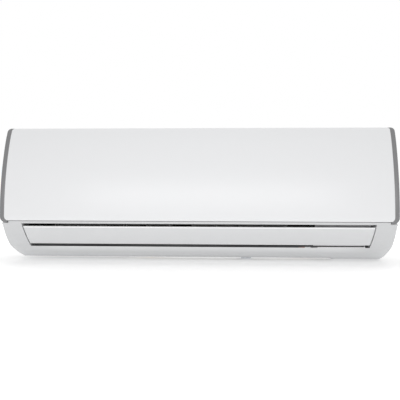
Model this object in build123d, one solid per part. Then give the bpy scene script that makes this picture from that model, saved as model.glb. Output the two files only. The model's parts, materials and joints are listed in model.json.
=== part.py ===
from build123d import *
import math
import os

# Wall-mounted indoor unit of a mini split air conditioner, in millimetres.
# X runs along the unit, to the right as a person facing it sees it. Y runs into the wall and Z up.
# The origin is the centre of the four wall screws, on the wall, half way up the unit.
# Places inside are given as distances back from the unit's front and up from its base.

# Overall size
UNIT_WIDTH = 800.0
UNIT_HEIGHT = 280.0
UNIT_DEPTH = 200.0

# Walls and clearances
WALL = 2.5
FLAT_GAP = 0.5          # between flat faces of neighbouring mouldings
RUN_GAP = 0.05          # radial, between a shaft and its hole
SPARE = 2.0             # how far a blank runs past the outline that trims it

# Front face: a large arc that stands upright at its foot, then a tighter one up to the top
PANEL_RISE = 88.5       # foot of the front panel above the base of the unit
FACE_RADIUS = 413.0
FACE_SWEEP = 22.6       # degrees
SHOULDER_RADIUS = 176.0
PANEL_THICKNESS = 3.0
PANEL_FOOT_RADIUS = 8.5
PANEL_HEAD_RADIUS = 5.0
TRIM_WIDTH = 9.0
TRIM_DEPTH = 12.0
TRIM_DROP = 3.8         # trim below the panel's foot
TRIM_HOOK = 6.0         # how far the trim reaches in under the panel's corner
TRIM_FOOT_RADIUS = 12.5
TRIM_HEAD_RADIUS = 7.5

# Casing
CASING_SIDE_INSET = 2.0     # end wall inside the trim's outer face
CASING_FACE_INSET = 13.0    # front wall behind the panel's face
CASING_BACK_GAP = 4.0
SHOULDER_GAP = 1.0          # under the panel's foot
LIP_RADIUS = 135.1
LIP_CENTER_BACK = 123.9     # lip arc's centre behind the unit's front
LIP_CENTER_RISE = 149.1     # and above its base
LIP_END_ANGLE = 58.8        # degrees below horizontal
BELLY_MID = (105.0, 15.1)   # back from the front, up from the base
BELLY_END = (156.7, 1.9)
BELLY_START_ANGLE = 10.0    # where the lip's arc starts, behind the panel
CREASE_RADIUS = 20.0        # between the lip and the underside
END_EDGE_RADIUS = 5.0

# Air outlet
OUTLET_TOP_DROP = 5.9       # top edge of the outlet below the panel's foot
OUTLET_TOP_HALF = 357.5
OUTLET_FOOT_HALF = 352.2
CHEEK_OUTER = 361.0
CHEEK_DEPTH = 57.0
LOUVER_TOP_ANGLE = 32.8     # degrees below horizontal
LOUVER_FOOT_ANGLE = 54.6
LOUVER_INSET = 0.6
LOUVER_THICKNESS = 2.2
LOUVER_END_GAP = 2.0
PIVOT_ANGLE = 52.5
PIVOT_INSET = 7.6
PIVOT_PIN_RADIUS = 2.5
PIVOT_BUSH_RADIUS = 4.2
LOUVER_RIB = 2.5
LOUVER_RIB_HALF = 344.5
CENTER_SUPPORT_X = 2.5
CENTER_SUPPORT_WIDTH = 5.0
CENTER_RIB_GAP = 2.0

# Fan
FAN_BACK = 114.0            # fan axis behind the unit's front
FAN_RISE = 126.0
FAN_RADIUS = 44.0
FAN_INNER_RADIUS = 37.0
FAN_LEFT = -346.0
FAN_RIGHT = 219.0
FAN_BLADES = 35
FAN_DISCS = 7
FAN_DISC_THICKNESS = 2.5
BLADE_THICKNESS = 1.2
HUB_RADIUS = 9.0
HUB_LENGTH = 8.0
MOTOR_SHAFT_RADIUS = 4.0
STUB_RADIUS = 3.0
BUSH_RADIUS = 7.0
BEARING_RUBBER_RADIUS = 12.0
MOTOR_RADIUS = 42.0
MOTOR_LEFT = 244.0
MOTOR_LENGTH = 48.0

# Duct
DUCT_LEFT = -352.0
DUCT_RIGHT = 232.0
BLANK_RIGHT = 350.0
VANE_COUNT = 11
VANE_LEFT_COUNT = 6
VANE_FIRST_X = -292.0
VANE_PITCH = 47.25
VANE_THICKNESS = 1.4
VANE_PIVOT_BACK = 72.0
VANE_PIVOT_RADIUS = 2.0
VANE_TIP = (24.0, 80.1)
VANE_EDGE = (       # round the vane's back, foot and front
    (69.0, 88.8), (75.5, 88.0), (82.0, 78.0), (84.0, 45.5), (64.0, 41.5), (59.0, 58.0), (24.0, 73.0))
VANE_CRANK = 22.0           # crank pin in front of the pivot
VANE_CRANK_RADIUS = 1.5
LINK_HALF_WIDTH = 3.0
LINK_RISE = 80.4
LINK_THICKNESS = 2.4
LINK_END = 5.0

# Filters
FILTER_FOOT_RISE = 95.0
FILTER_FRONT_GAP = 3.5      # from the casing's front wall to the filter's face, at the foot
FILTER_SLOT_BAR = 6.2       # casing in front of the filter's slot, at the top
FILTER_THICKNESS = 5.0
FILTER_LENGTH = 184.0
FILTER_GAP = 0.5
FILTER_RIM = 7.0
FILTER_BAR = 2.5
MESH_THICKNESS = 0.6
RAIL_WEB = 3.0
RAIL_LIP = 2.0
RAIL_GRIP = 5.0
FILTER_EDGES = ((-352.0, -65.5), (-62.5, 224.0))

# Coil
COIL_GAP = 6.0
COIL_THICKNESS = 22.0
COIL_LEFT = -350.0
COIL_RIGHT = 222.0
END_PLATE = 2.0
TUBE_RADIUS = 3.5
TUBE_PITCH = 21.0
ROW_PITCH = 11.0
LOWER_SLAB = (8.0, 97.0)        # from and to, along the filter from its foot
UPPER_SLAB = (70.5, 90.0, 34.0, 79.0)   # behind the front, below the top, lean in degrees, length
REAR_SLAB = (138.0, 24.0, 148.8, 62.0)

COIL_STRAPS = (     # behind the front and below the top
    ((54.0, 102.0), (67.0, 98.0), (76.0, 89.0), (64.0, 84.0)),
    ((114.0, 16.0), (144.0, 18.0), (138.0, 28.0), (116.0, 28.0)),
)

# Wall plate
SCREW_SPACING_X = 400.0
SCREW_SPACING_Z = 100.0
SCREW_HOLE_RADIUS = 3.0
PLATE_WIDTH = 640.0
PLATE_LOW = -85.0
PLATE_HIGH = 95.0
PLATE_SHEET = 1.2
PLATE_RIM = 8.0
CHASSIS_BACK = 14.0             # face of the chassis's back wall in front of the wall
HOOKS_X = (-220.0, 0.0, 220.0)

# Pipes: radius, and place in the channel
CHANNEL_TOP = 46.0
CHANNEL_FRONT = -58.0
CHANNEL_RIGHT = 215.0
CHANNEL_OPEN_RIGHT = 290.0
CHANNEL_FOOT = 8.5           # lower edge of the channel's front wall
LIQUID_RADIUS = 3.175
LIQUID_LINE = (-46.0, 34.0)
LIQUID_END = -60.0
SUCTION_RADIUS = 4.76
SUCTION_LINE = (-20.0, 26.0)
SUCTION_END = -110.0
LIQUID_UNION_RADIUS = 5.55
SUCTION_UNION_RADIUS = 7.94
UNION_THREAD = 14.0
UNION_HEX = 9.0
LIQUID_FOAM = 9.0
SUCTION_FOAM = 13.0
FOAM_RIGHT = 205.0
FOAM_STAY = 22.0                # foam ends this far before the pipe's end
HOSE_LINE = (-46.0, 14.0)
HOSE_BORE = 5.5
HOSE_RADIUS = 7.0
HOSE_RIB_RADIUS = 8.0
HOSE_RIB_PITCH = 3.6
HOSE_RIBS_RIGHT = 190.0
HOSE_END = -160.0
HOSE_CUFF = 26.0
HOSE_CUFF_RADIUS = 9.2

# Front panel's hinge
HINGE_INSET = 8.0               # pivot behind the panel's face
HINGE_DROP = 4.1                # pivot below the unit's top
HINGE_PIN_RADIUS = 1.8
HINGE_BOSS_RADIUS = 3.0
HINGE_LUG_X = 366.0
HINGE_LUG = 5.0
HINGE_EAR = 4.0
RELIEF_RADIUS = 9.4

# Intake grille in the top
GRILLE_LEFT = -350.0
GRILLE_RIGHT = 310.0
GRILLE_FRONT = 84.0
GRILLE_BACK = -16.0
GRILLE_THICKNESS = 2.5
GRILLE_CELLS_X = 12
GRILLE_CELLS_Y = 13
GRILLE_BAR_X = 4.0
GRILLE_BAR_Y = 3.0

# Duct ceiling and drain pan, in the side view
CEILING_FRONT = (10.2, 82.1)
CEILING_MID = (50.0, 84.0)
CEILING_NOSE = (76.0, 94.0)
PAN_FRONT = 28.8
PAN_BACK = 59.0
PAN_FLOOR = 88.0
PAN_RIM = 100.5
PAN_END_RIM = 92.5
PAN_RIGHT = 262.0
BLANK_MID = (56.5, 56.0)
BLANK_FOOT = 37.3               # foot of the blank wall above the base
BLANK_SLOPE = ((28.0, 83.5), (31.5, 83.5))     # its head, front and back
DUCT_SIDE_BACK = ((78.5, 40.7), (78.5, 80.0))  # back edge of the duct's side walls
SPOUT_X = 252.0
SPOUT_RADIUS = 5.5
SPOUT_WALL = 1.5
SPOUT_START = (57.0, 95.0)
SPOUT_END = (68.0, 85.0)
PLUG_BACK = 43.0
PLUG_RISE = 94.0
PLUG_RADIUS = 4.0

# Screws that hold the casing at the outlet's lower corners
SCREW_X = 346.5
SCREW_RISE = 37.0
SCREW_HEAD_RADIUS = 2.6
SCREW_PAD_INNER = 2.8
SCREW_HEAD = 2.0
SCREW_RADIUS = 1.5
SCREW_PAD_FRONT = 53.5
SCREW_PAD_BACK = 58.3
SCREW_BOSS_BACK = 67.0
SCREW_BOSS_LOW = 2.3            # boss below and above the screw's axis
SCREW_BOSS_HIGH = 5.0
SCREW_BOSS_INNER = 4.5
DUCT_LIP_BACK = 5.1             # front edge of the duct's floor behind the lip's end
DUCT_LIP_RISE = 3.4

# Louver's stepper motor
STEPPER_RADIUS = 12.0
STEPPER_LENGTH = 17.0
STEPPER_OFFSET = 8.0

# Control box
BOX_LEFT = 316.0
BOX_RIGHT = 378.0
BOX_FRONT = 54.0
BOX_BACK = -40.0
BOX_LOW = 95.0
BOX_HIGH = 45.0            # below the top
BOARD_X = BOX_LEFT + 12.0
BOARD_THICKNESS = 1.6
BOARD_BLOCKS = (    # height off the board, behind the box's front, depth, above its floor, tall
    (18.0, 18.0, 24.0, 95.0, 30.0), (15.0, 52.0, 18.0, 99.0, 20.0), (12.0, 80.0, 12.0, 85.0, 42.0),
    (9.0, 16.0, 18.0, 53.0, 22.0), (3.0, 46.0, 28.0, 49.0, 24.0), (8.0, 20.0, 36.0, 11.0, 10.0))
BOARD_CANS = (      # height off the board, behind the box's front, above its floor, radius
    (30.0, 64.0, 31.0, 11.0), (16.0, 34.0, 39.0, 6.0), (16.0, 86.0, 57.0, 5.0), (12.0, 86.0, 71.0, 4.0))
TERMINAL_HEIGHT = 18.0
TERMINAL_LOW = 5.0
DISPLAY_LOW = 138.0             # above the base

# Emergency button
BUTTON_X = 330.0
BUTTON_RISE = 110.0
BUTTON_RADIUS = 4.0

half_width = UNIT_WIDTH / 2
top_z = UNIT_HEIGHT / 2
base_z = -UNIT_HEIGHT / 2
foot_z = base_z + PANEL_RISE
panel_half = half_width - TRIM_WIDTH
casing_half = half_width - CASING_SIDE_INSET
shoulder_z = foot_z - SHOULDER_GAP
outlet_top_z = foot_z - OUTLET_TOP_DROP
fan_y = -UNIT_DEPTH + FAN_BACK


def inner_point(back, up):
    """Side-view point from distances behind the front and above the base."""
    return -UNIT_DEPTH + back, base_z + up


pan_front = -UNIT_DEPTH + PAN_FRONT
pan_back = -UNIT_DEPTH + PAN_BACK
plug_y = -UNIT_DEPTH + PLUG_BACK
screw_pad_front = -UNIT_DEPTH + SCREW_PAD_FRONT
screw_pad_back = -UNIT_DEPTH + SCREW_PAD_BACK
screw_boss_back = -UNIT_DEPTH + SCREW_BOSS_BACK
vane_pivot_y = -UNIT_DEPTH + VANE_PIVOT_BACK
grille_front = -UNIT_DEPTH + GRILLE_FRONT
box_front = -UNIT_DEPTH + BOX_FRONT
fan_z = base_z + FAN_RISE
link_top = base_z + LINK_RISE
filter_foot_z = base_z + FILTER_FOOT_RISE
channel_top = base_z + CHANNEL_TOP
channel_foot = base_z + CHANNEL_FOOT
pan_floor = base_z + PAN_FLOOR
pan_rim = base_z + PAN_RIM
pan_end_rim = base_z + PAN_END_RIM
plug_z = base_z + PLUG_RISE
screw_z = base_z + SCREW_RISE
box_low = base_z + BOX_LOW
button_z = base_z + BUTTON_RISE
box_high = top_z - BOX_HIGH
ceiling_front = inner_point(*CEILING_FRONT)
ceiling_mid = inner_point(*CEILING_MID)
ceiling_nose = inner_point(*CEILING_NOSE)
spout_start = inner_point(*SPOUT_START)
spout_end = inner_point(*SPOUT_END)
blank_mid = inner_point(*BLANK_MID)
liquid_line = (LIQUID_LINE[0], base_z + LIQUID_LINE[1])
suction_line = (SUCTION_LINE[0], base_z + SUCTION_LINE[1])
hose_line = (HOSE_LINE[0], base_z + HOSE_LINE[1])


# ---- drawing helpers -----------------------------------------------------------------

def polar(center, radius, angle):
    """Point in the side view, angle in degrees up from straight forward."""
    turn = math.radians(angle)
    return center[0] - radius * math.cos(turn), center[1] + radius * math.sin(turn)


def arc(center, radius, start, end):
    """Arc in the side view between two angles."""
    points = [polar(center, radius, a) for a in (start, (start + end) / 2, end)]
    return ThreePointArc(*[(0, y, z) for y, z in points])


def side_line(start, end):
    return Line((0, *start), (0, *end))


def side_polygon(*points):
    return make_face(Polyline(*[(0, y, z) for y, z in points], close=True).edges())


def side_spline(points):
    return Spline(*[(0, y, z) for y, z in points])


def along_x(face, left, right):
    """A side-view face stretched from one X to another."""
    return Pos(left, 0, 0) * extrude(face, amount=right - left, dir=(1, 0, 0))


def block(x0, x1, y0, y1, z0, z1):
    center = Pos((x0 + x1) / 2, (y0 + y1) / 2, (z0 + z1) / 2)
    return center * Box(x1 - x0, y1 - y0, z1 - z0)


def rod(x0, x1, y, z, radius):
    """Round bar along X."""
    return Pos((x0 + x1) / 2, y, z) * Rot(0, 90, 0) * Cylinder(radius, x1 - x0)


def post(x, y, z0, z1, radius):
    """Round bar along Z."""
    return Pos(x, y, (z0 + z1) / 2) * Cylinder(radius, z1 - z0)


def tube(x0, x1, y, z, outer, bore):
    return rod(x0, x1, y, z, outer) - rod(x0 - 1, x1 + 1, y, z, bore)


def together(solids):
    """Separate solids of one kind, kept apart in one node."""
    return Compound([solid for shape in solids for solid in shape.solids()])


def write(name, shape):
    export_step(shape, f"parts/{name}.step")


# ---- the front face ------------------------------------------------------------------

face_center = (-UNIT_DEPTH + FACE_RADIUS, foot_z)
shoulder_center = polar(face_center, FACE_RADIUS - SHOULDER_RADIUS, FACE_SWEEP)


def face_angle(z, inset):
    """Which arc of the face holds this height, and at what angle."""
    radius = FACE_RADIUS - inset
    if z < face_center[1] + radius * math.sin(math.radians(FACE_SWEEP)):
        return face_center, radius, math.degrees(math.asin((z - face_center[1]) / radius))
    radius = SHOULDER_RADIUS - inset
    return shoulder_center, radius, math.degrees(math.asin((z - shoulder_center[1]) / radius))


def face_point(z, inset):
    return polar(*face_angle(z, inset))


def face_y(z, inset):
    return face_point(z, inset)[0]


def face_arcs(inset, low, high):
    """The face's outline between two heights, moved in by the inset."""
    center, radius, start = face_angle(low, inset)
    last_center, last_radius, end = face_angle(high, inset)
    if center == last_center:
        return [arc(center, radius, start, end)]
    lower = arc(center, radius, start, FACE_SWEEP)
    return [lower, arc(last_center, last_radius, FACE_SWEEP, end)]


def face_band(front_inset, back_inset, low, high):
    """The layer between two insets of the face."""
    front = face_arcs(front_inset, low, high)
    back = face_arcs(back_inset, low, high)
    head = side_line(face_point(high, front_inset), face_point(high, back_inset))
    foot = side_line(face_point(low, front_inset), face_point(low, back_inset))
    return make_face([*front, head, *back, foot])


# ---- the lip below the panel ---------------------------------------------------------

lip_center = (-UNIT_DEPTH + LIP_CENTER_BACK, base_z + LIP_CENTER_RISE)


def lip_point(angle, inset=0.0):
    return polar(lip_center, LIP_RADIUS - inset, -angle)


def lip_angle(z, inset=0.0):
    return math.degrees(math.asin((lip_center[1] - z) / (LIP_RADIUS - inset)))


pivot_y, pivot_z = lip_point(PIVOT_ANGLE, PIVOT_INSET)


def outlet_half(z):
    """Half width of the tapered outlet at a height."""
    foot = lip_point(LIP_END_ANGLE)[1]
    share = (outlet_top_z - z) / (outlet_top_z - foot)
    return OUTLET_TOP_HALF + (OUTLET_FOOT_HALF - OUTLET_TOP_HALF) * share


def taper_prism(half_at, low, high, front, back):
    """Block whose ends follow a half width that changes with height."""
    corners = [(-half_at(low), low), (half_at(low), low), (half_at(high), high), (-half_at(high), high)]
    outline = make_face(Polyline(*[(x, front, z) for x, z in corners], close=True).edges())
    return extrude(outline, amount=back - front, dir=(0, 1, 0))


# ---- the filters' plane --------------------------------------------------------------

filter_foot_y = face_y(filter_foot_z, CASING_FACE_INSET + WALL) + FILTER_FRONT_GAP + FILTER_THICKNESS / 2
filter_head_y = face_y(top_z, CASING_FACE_INSET) + FILTER_SLOT_BAR + FILTER_THICKNESS / 2 + FILTER_GAP
filter_lean = math.atan2(filter_head_y - filter_foot_y, top_z - filter_foot_z)
filter_front = (0, -math.cos(filter_lean), math.sin(filter_lean))
filter_plane = Plane(origin=(0, filter_foot_y, filter_foot_z), x_dir=(1, 0, 0), z_dir=filter_front)
slab_depth = FILTER_THICKNESS / 2 + COIL_GAP + COIL_THICKNESS / 2


def leaning_block(plane, x0, x1, up0, up1, out0, out1):
    """Block measured along a leaning plane: across, up it and out of its front."""
    center = plane * Pos((x0 + x1) / 2, (up0 + up1) / 2, (out0 + out1) / 2)
    return center * Box(x1 - x0, up1 - up0, out1 - out0)


# ---- wall plate and chassis ----------------------------------------------------------

def make_mounting_plate():
    middle = (PLATE_LOW + PLATE_HIGH) / 2
    outline = Plane.XZ * Pos(0, middle) * RectangleRounded(PLATE_WIDTH, PLATE_HIGH - PLATE_LOW, 14)
    sheet = extrude(outline, amount=PLATE_SHEET, dir=(0, -1, 0))
    inner = PLATE_WIDTH / 2 - 22
    for z in (PLATE_LOW, PLATE_HIGH - PLATE_SHEET):
        sheet += block(-inner, inner, -PLATE_RIM, 0, z, z + PLATE_SHEET)
    for x in HOOKS_X:
        sheet += block(x - 20, x + 20, -PLATE_RIM, -PLATE_RIM + PLATE_SHEET,
                       PLATE_HIGH - PLATE_SHEET, PLATE_HIGH + 12)
    for x in (-SCREW_SPACING_X / 2, SCREW_SPACING_X / 2):
        for z in (-SCREW_SPACING_Z / 2, SCREW_SPACING_Z / 2):
            sheet -= Pos(x, 0, z) * Rot(90, 0, 0) * Cylinder(SCREW_HOLE_RADIUS, 4 * PLATE_SHEET)
    slot = Rot(90, 0, 0) * extrude(RectangleRounded(60, 16, 7.5), amount=2 * PLATE_SHEET, both=True)
    for x in (-270, -130, -45, 45, 130, 270):
        for z in (-60, 0, 60):
            sheet -= Pos(x, 0, z) * slot
    return sheet


def duct_floor_end():
    y, z = lip_point(LIP_END_ANGLE)
    return y + DUCT_LIP_BACK, z + DUCT_LIP_RISE


def screw_boss(x0, x1):
    low, high = screw_z - SCREW_BOSS_LOW, screw_z + SCREW_BOSS_HIGH
    return block(x0, x1, duct_floor_end()[0], screw_boss_back, low, high)


def scroll_wall():
    """The fan's scroll and the duct's floor, as one moulded wall in the side view."""
    def around(angle, radius):
        return polar((fan_y, fan_z), radius, 180 - angle)

    floor_end = duct_floor_end()
    turns = ((40, 5.5), (0, 9.0), (-45, 16.0), (-78, 28.0))
    inner = [around(a, FAN_RADIUS + grow) for a, grow in turns]
    outer = [around(a, FAN_RADIUS + grow + WALL) for a, grow in turns]
    inner += [(fan_y - 14, fan_z - 82.5), floor_end]
    outer += [(fan_y - 13.5, fan_z - 82.5 - WALL), (floor_end[0], floor_end[1] - WALL)]
    ends = [side_line(inner[0], outer[0]), side_line(inner[-1], outer[-1])]
    wall = make_face([side_spline(inner), ends[1], side_spline(outer), ends[0]])
    tongue = side_polygon(
        inner[0],
        (fan_y + 46, fan_z + 60),
        (fan_y + 48, fan_z + 60),
        (fan_y + 48, fan_z + 57),
        (-CHASSIS_BACK + 1, fan_z + 57),
        (-CHASSIS_BACK + 1, fan_z + 54.5),
        (fan_y + 46.5, fan_z + 54.5),
        outer[0],
    )
    return wall, tongue


def make_rear_chassis():
    inner_half = casing_half - WALL - FLAT_GAP
    roof = top_z - WALL - FLAT_GAP
    back = -CHASSIS_BACK
    body = block(-inner_half, inner_half, back, back + WALL, channel_top, roof)
    body += block(-inner_half, inner_half, back, 0, roof - WALL, roof)
    body += block(-inner_half, inner_half, back, 0, channel_top, channel_top + WALL)
    for side in (-1, 1):
        edge = sorted((side * inner_half, side * (inner_half - WALL)))
        body += block(*edge, back, 0, channel_top, roof)
    wall, tongue = scroll_wall()
    body += along_x(wall, DUCT_LEFT, DUCT_RIGHT)
    body += along_x(tongue, DUCT_LEFT, DUCT_RIGHT)
    end_shape = side_polygon(
        (back + 1, fan_z + 57),
        (fan_y + 26, fan_z + 57),
        (fan_y - 12, fan_z + 52),
        (fan_y - 33, fan_z + 40),
        (fan_y - 35, fan_z - 26),
        (fan_y - 35, fan_z - 85.5),
        (fan_y - 14, fan_z - 82.5),
        (fan_y + 15, fan_z - 72),
        (back + 1, channel_top + 1),
    )
    body += along_x(end_shape, DUCT_LEFT - WALL, DUCT_LEFT)
    body += along_x(end_shape, DUCT_RIGHT, DUCT_RIGHT + WALL)
    body += block(-inner_half, CHANNEL_RIGHT, CHANNEL_FRONT, back + 1, channel_top, channel_top + WALL)
    wall_top = fan_z - 66
    body += block(-inner_half, CHANNEL_RIGHT, CHANNEL_FRONT - WALL, CHANNEL_FRONT, channel_foot, wall_top)
    for x in HOOKS_X:
        body += block(x - 24, x + 24, back, -4.5, PLATE_HIGH + 12.5, PLATE_HIGH + 15)
        body += block(x - 24, x + 24, -5.7, -4.5, PLATE_HIGH + 3, PLATE_HIGH + 15)
    front = duct_floor_end()
    shelf = side_polygon(front, (fan_y - 12, fan_z - 81), (fan_y - 12, fan_z - 83 - WALL),
                         (front[0], front[1] - WALL))
    body += along_x(shelf, DUCT_RIGHT, SCREW_X - SCREW_BOSS_INNER - FLAT_GAP)
    body += screw_boss(DUCT_LEFT + 3, -SCREW_X + SCREW_BOSS_INNER)
    body -= screw_hole(-1, duct_floor_end()[0] - 1, screw_boss_back + 1, SCREW_RADIUS)
    body -= rod(DUCT_LEFT - 2 * WALL, DUCT_LEFT + WALL, fan_y, fan_z, BEARING_RUBBER_RADIUS)
    body -= rod(DUCT_RIGHT - WALL, DUCT_RIGHT + 2 * WALL, fan_y, fan_z, BEARING_RUBBER_RADIUS)
    return body


# ---- casing --------------------------------------------------------------------------

def envelope(inset):
    """Side view of the casing, moved in by the inset."""
    high = top_z - inset
    shelf = shoulder_z - inset
    back = -CASING_BACK_GAP
    face_inset = CASING_FACE_INSET + inset
    belly_start = lip_point(LIP_END_ANGLE, inset)
    belly_mid = (-UNIT_DEPTH + BELLY_MID[0], base_z + BELLY_MID[1] + inset)
    belly_end = (-UNIT_DEPTH + BELLY_END[0], base_z + BELLY_END[1] + inset)
    shelf_start = lip_angle(shelf, inset)
    edges = [
        side_line((back, base_z + inset), (back, high)),
        side_line((back, high), face_point(high, face_inset)),
        *face_arcs(face_inset, shelf, high),
        side_line(face_point(shelf, face_inset), lip_point(shelf_start, inset)),
        arc(lip_center, LIP_RADIUS - inset, -shelf_start, -LIP_END_ANGLE),
        ThreePointArc((0, *belly_start), (0, *belly_mid), (0, *belly_end)),
        side_line(belly_end, (back, base_z + inset)),
    ]
    return make_face(edges)


def rounded_belly():
    """The lip and the underside with their edges rounded at both ends."""
    start = lip_point(BELLY_START_ANGLE)
    corner = lip_point(LIP_END_ANGLE)
    middle = (-UNIT_DEPTH + BELLY_MID[0], base_z + BELLY_MID[1])
    end = (-UNIT_DEPTH + BELLY_END[0], base_z + BELLY_END[1])
    edges = [
        arc(lip_center, LIP_RADIUS, -BELLY_START_ANGLE, -LIP_END_ANGLE),
        ThreePointArc((0, *corner), (0, *middle), (0, *end)),
        side_line(end, (-CASING_BACK_GAP, base_z)),
        side_line((-CASING_BACK_GAP, base_z), (0, base_z)),
        side_line((0, base_z), (0, start[1])),
        side_line((0, start[1]), start),
    ]
    face = make_face(edges)
    crease = [v for v in face.vertices() if math.dist((v.Y, v.Z), corner) < 0.01]
    body = along_x(fillet(crease, CREASE_RADIUS), -casing_half, casing_half)
    curved = [e for e in body.edges() if e.geom_type == GeomType.CIRCLE
              and abs(abs(e.center().X) - casing_half) < 0.01]
    return fillet(curved, END_EDGE_RADIUS)


def filter_channel(left, right, up0, up1, spare):
    half = FILTER_THICKNESS / 2 + spare
    return leaning_block(filter_plane, left - spare, right + spare, up0, up1, -half, half)


def make_front_casing():
    outer = along_x(envelope(0), -casing_half, casing_half)
    trim_foot = foot_z - TRIM_DROP - SHOULDER_GAP
    upper = outer & block(-casing_half, casing_half, -UNIT_DEPTH, 0, trim_foot, top_z)
    outer = (outer & rounded_belly()) + upper
    inner_half = casing_half - WALL
    shell = outer - along_x(envelope(WALL), -inner_half, inner_half)
    # open back
    shell -= block(-inner_half, inner_half, -CASING_BACK_GAP - WALL, 1, base_z - 1, top_z - WALL)
    # the pipe channel is open below
    shell -= block(-inner_half, CHANNEL_OPEN_RIGHT, CHANNEL_FRONT, 1, base_z - 1, channel_top - 10)
    # the knock-out for pipes that leave to the left is open
    shell -= block(-casing_half - 1, -inner_half + 1, CHANNEL_FRONT, 1, base_z - 1, channel_top - 1)
    # room for the trims' feet and for their heads as the panel swings
    trim_inner = panel_half - TRIM_HOOK - 1
    pivot = face_point_at_hinge()
    for side in (-1, 1):
        span = sorted((side * trim_inner, side * casing_half))
        pad = along_x(envelope(0), *span)
        shell += pad & block(*span, -UNIT_DEPTH, -UNIT_DEPTH + 50, trim_foot - WALL, shoulder_z)
        wide = sorted((side * trim_inner, side * (half_width + 1)))
        shell -= block(*wide, -UNIT_DEPTH, face_y(foot_z, CASING_FACE_INSET), trim_foot, foot_z + 4)
        shell -= rod(*wide, pivot[0], pivot[1], RELIEF_RADIUS)
    # windows in front of the filters
    for left, right in FILTER_EDGES:
        band = face_band(CASING_FACE_INSET - 1, CASING_FACE_INSET + WALL + 2, filter_foot_z + 8, top_z - 20)
        shell -= along_x(band, left + RAIL_GRIP + 1, right - RAIL_GRIP - 1)
    # rails for the filters, carried by the front wall
    solid = along_x(envelope(WALL / 2), -inner_half, inner_half)
    for left, right in FILTER_EDGES:
        for x0, x1 in ((left - RAIL_WEB, left + RAIL_GRIP), (right - RAIL_GRIP, right + RAIL_WEB)):
            half = FILTER_THICKNESS / 2 + FILTER_GAP + RAIL_LIP
            rail = leaning_block(filter_plane, x0, x1, -RAIL_WEB, FILTER_LENGTH + 12, -half, 60)
            shell += rail & solid
    # opening for the grille, and the filters' channels out through the top
    shell -= block(GRILLE_LEFT, GRILLE_RIGHT, grille_front, GRILLE_BACK, top_z - 2 * WALL, top_z + 1)
    for left, right in FILTER_EDGES:
        shell -= filter_channel(left, right, -FILTER_GAP, FILTER_LENGTH + 40, FILTER_GAP)
    # outlet, between two cheeks
    cheek_low = lip_point(LIP_END_ANGLE)[1]
    for side in (-1, 1):
        cheek_span = sorted((side * (OUTLET_FOOT_HALF - 0.2), side * CHEEK_OUTER))
        cheek = block(*cheek_span, -UNIT_DEPTH, -UNIT_DEPTH + CHEEK_DEPTH, cheek_low, shoulder_z - WALL / 2)
        shell += cheek & solid
        shell -= rod(*sorted((side * 340, side * (CHEEK_OUTER + 1))), pivot_y, pivot_z, PIVOT_BUSH_RADIUS)
    mouth = taper_prism(outlet_half, cheek_low, outlet_top_z, -UNIT_DEPTH - 1, -UNIT_DEPTH + 75)
    shell -= mouth
    # pads that the casing's screws clamp
    for side in (-1, 1):
        pad_span = sorted((side * (SCREW_X - SCREW_PAD_INNER), side * (OUTLET_FOOT_HALF + 1)))
        pad = block(*pad_span, screw_pad_front, screw_pad_back, cheek_low - 0.5, screw_z + 3.5)
        shell += pad & solid
        shell -= screw_hole(side, screw_pad_front - 1, screw_pad_back + 1, SCREW_RADIUS + 0.2)
    # hinge ears beside the panel's lugs
    for side in (-1, 1):
        for offset in (-1, 1):
            x0 = side * HINGE_LUG_X + offset * (HINGE_LUG / 2 + 0.5 + HINGE_EAR / 2)
            shell += hinge_ear(x0 - HINGE_EAR / 2, x0 + HINGE_EAR / 2)
    # opening for the button and for the light of the display
    shell -= Pos(BUTTON_X, -UNIT_DEPTH, button_z) * Rot(90, 0, 0) * Cylinder(BUTTON_RADIUS + 0.4, 80)
    return shell


def face_point_at_hinge():
    return face_point(top_z - HINGE_DROP, HINGE_INSET)


def hinge_ear(x0, x1):
    y, z = face_point_at_hinge()
    radius = HINGE_PIN_RADIUS + 1.7
    foot = side_polygon((y, z + radius), (y, z - radius), (y + 12, z - radius - 4), (y + 12, z + radius))
    ear = along_x(foot, x0, x1) + rod(x0, x1, y, z, radius)
    return ear - rod(x0 - 1, x1 + 1, y, z, HINGE_PIN_RADIUS + RUN_GAP)


def make_intake_grille():
    x0 = GRILLE_LEFT + FLAT_GAP
    x1 = GRILLE_RIGHT - FLAT_GAP
    y0 = grille_front + FLAT_GAP
    y1 = GRILLE_BACK - FLAT_GAP
    grille = block(x0, x1, y0, y1, top_z - GRILLE_THICKNESS, top_z)
    pitch_x = (x1 - x0 - GRILLE_BAR_X) / GRILLE_CELLS_X
    pitch_y = (y1 - y0 - GRILLE_BAR_Y) / GRILLE_CELLS_Y
    for i in range(GRILLE_CELLS_X):
        for j in range(GRILLE_CELLS_Y):
            left = x0 + GRILLE_BAR_X + i * pitch_x
            front = y0 + GRILLE_BAR_Y + j * pitch_y
            grille -= block(left, left + pitch_x - GRILLE_BAR_X, front, front + pitch_y - GRILLE_BAR_Y,
                            top_z - 9, top_z + 1)
    return grille


# ---- outlet frame: drain pan and duct ceiling ----------------------------------------

def screw_hole(side, front, back, radius):
    """Round bar along Y on the axis of a casing screw."""
    place = Pos(side * SCREW_X, (front + back) / 2, screw_z)
    return place * Rot(90, 0, 0) * Cylinder(radius, back - front)


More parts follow.
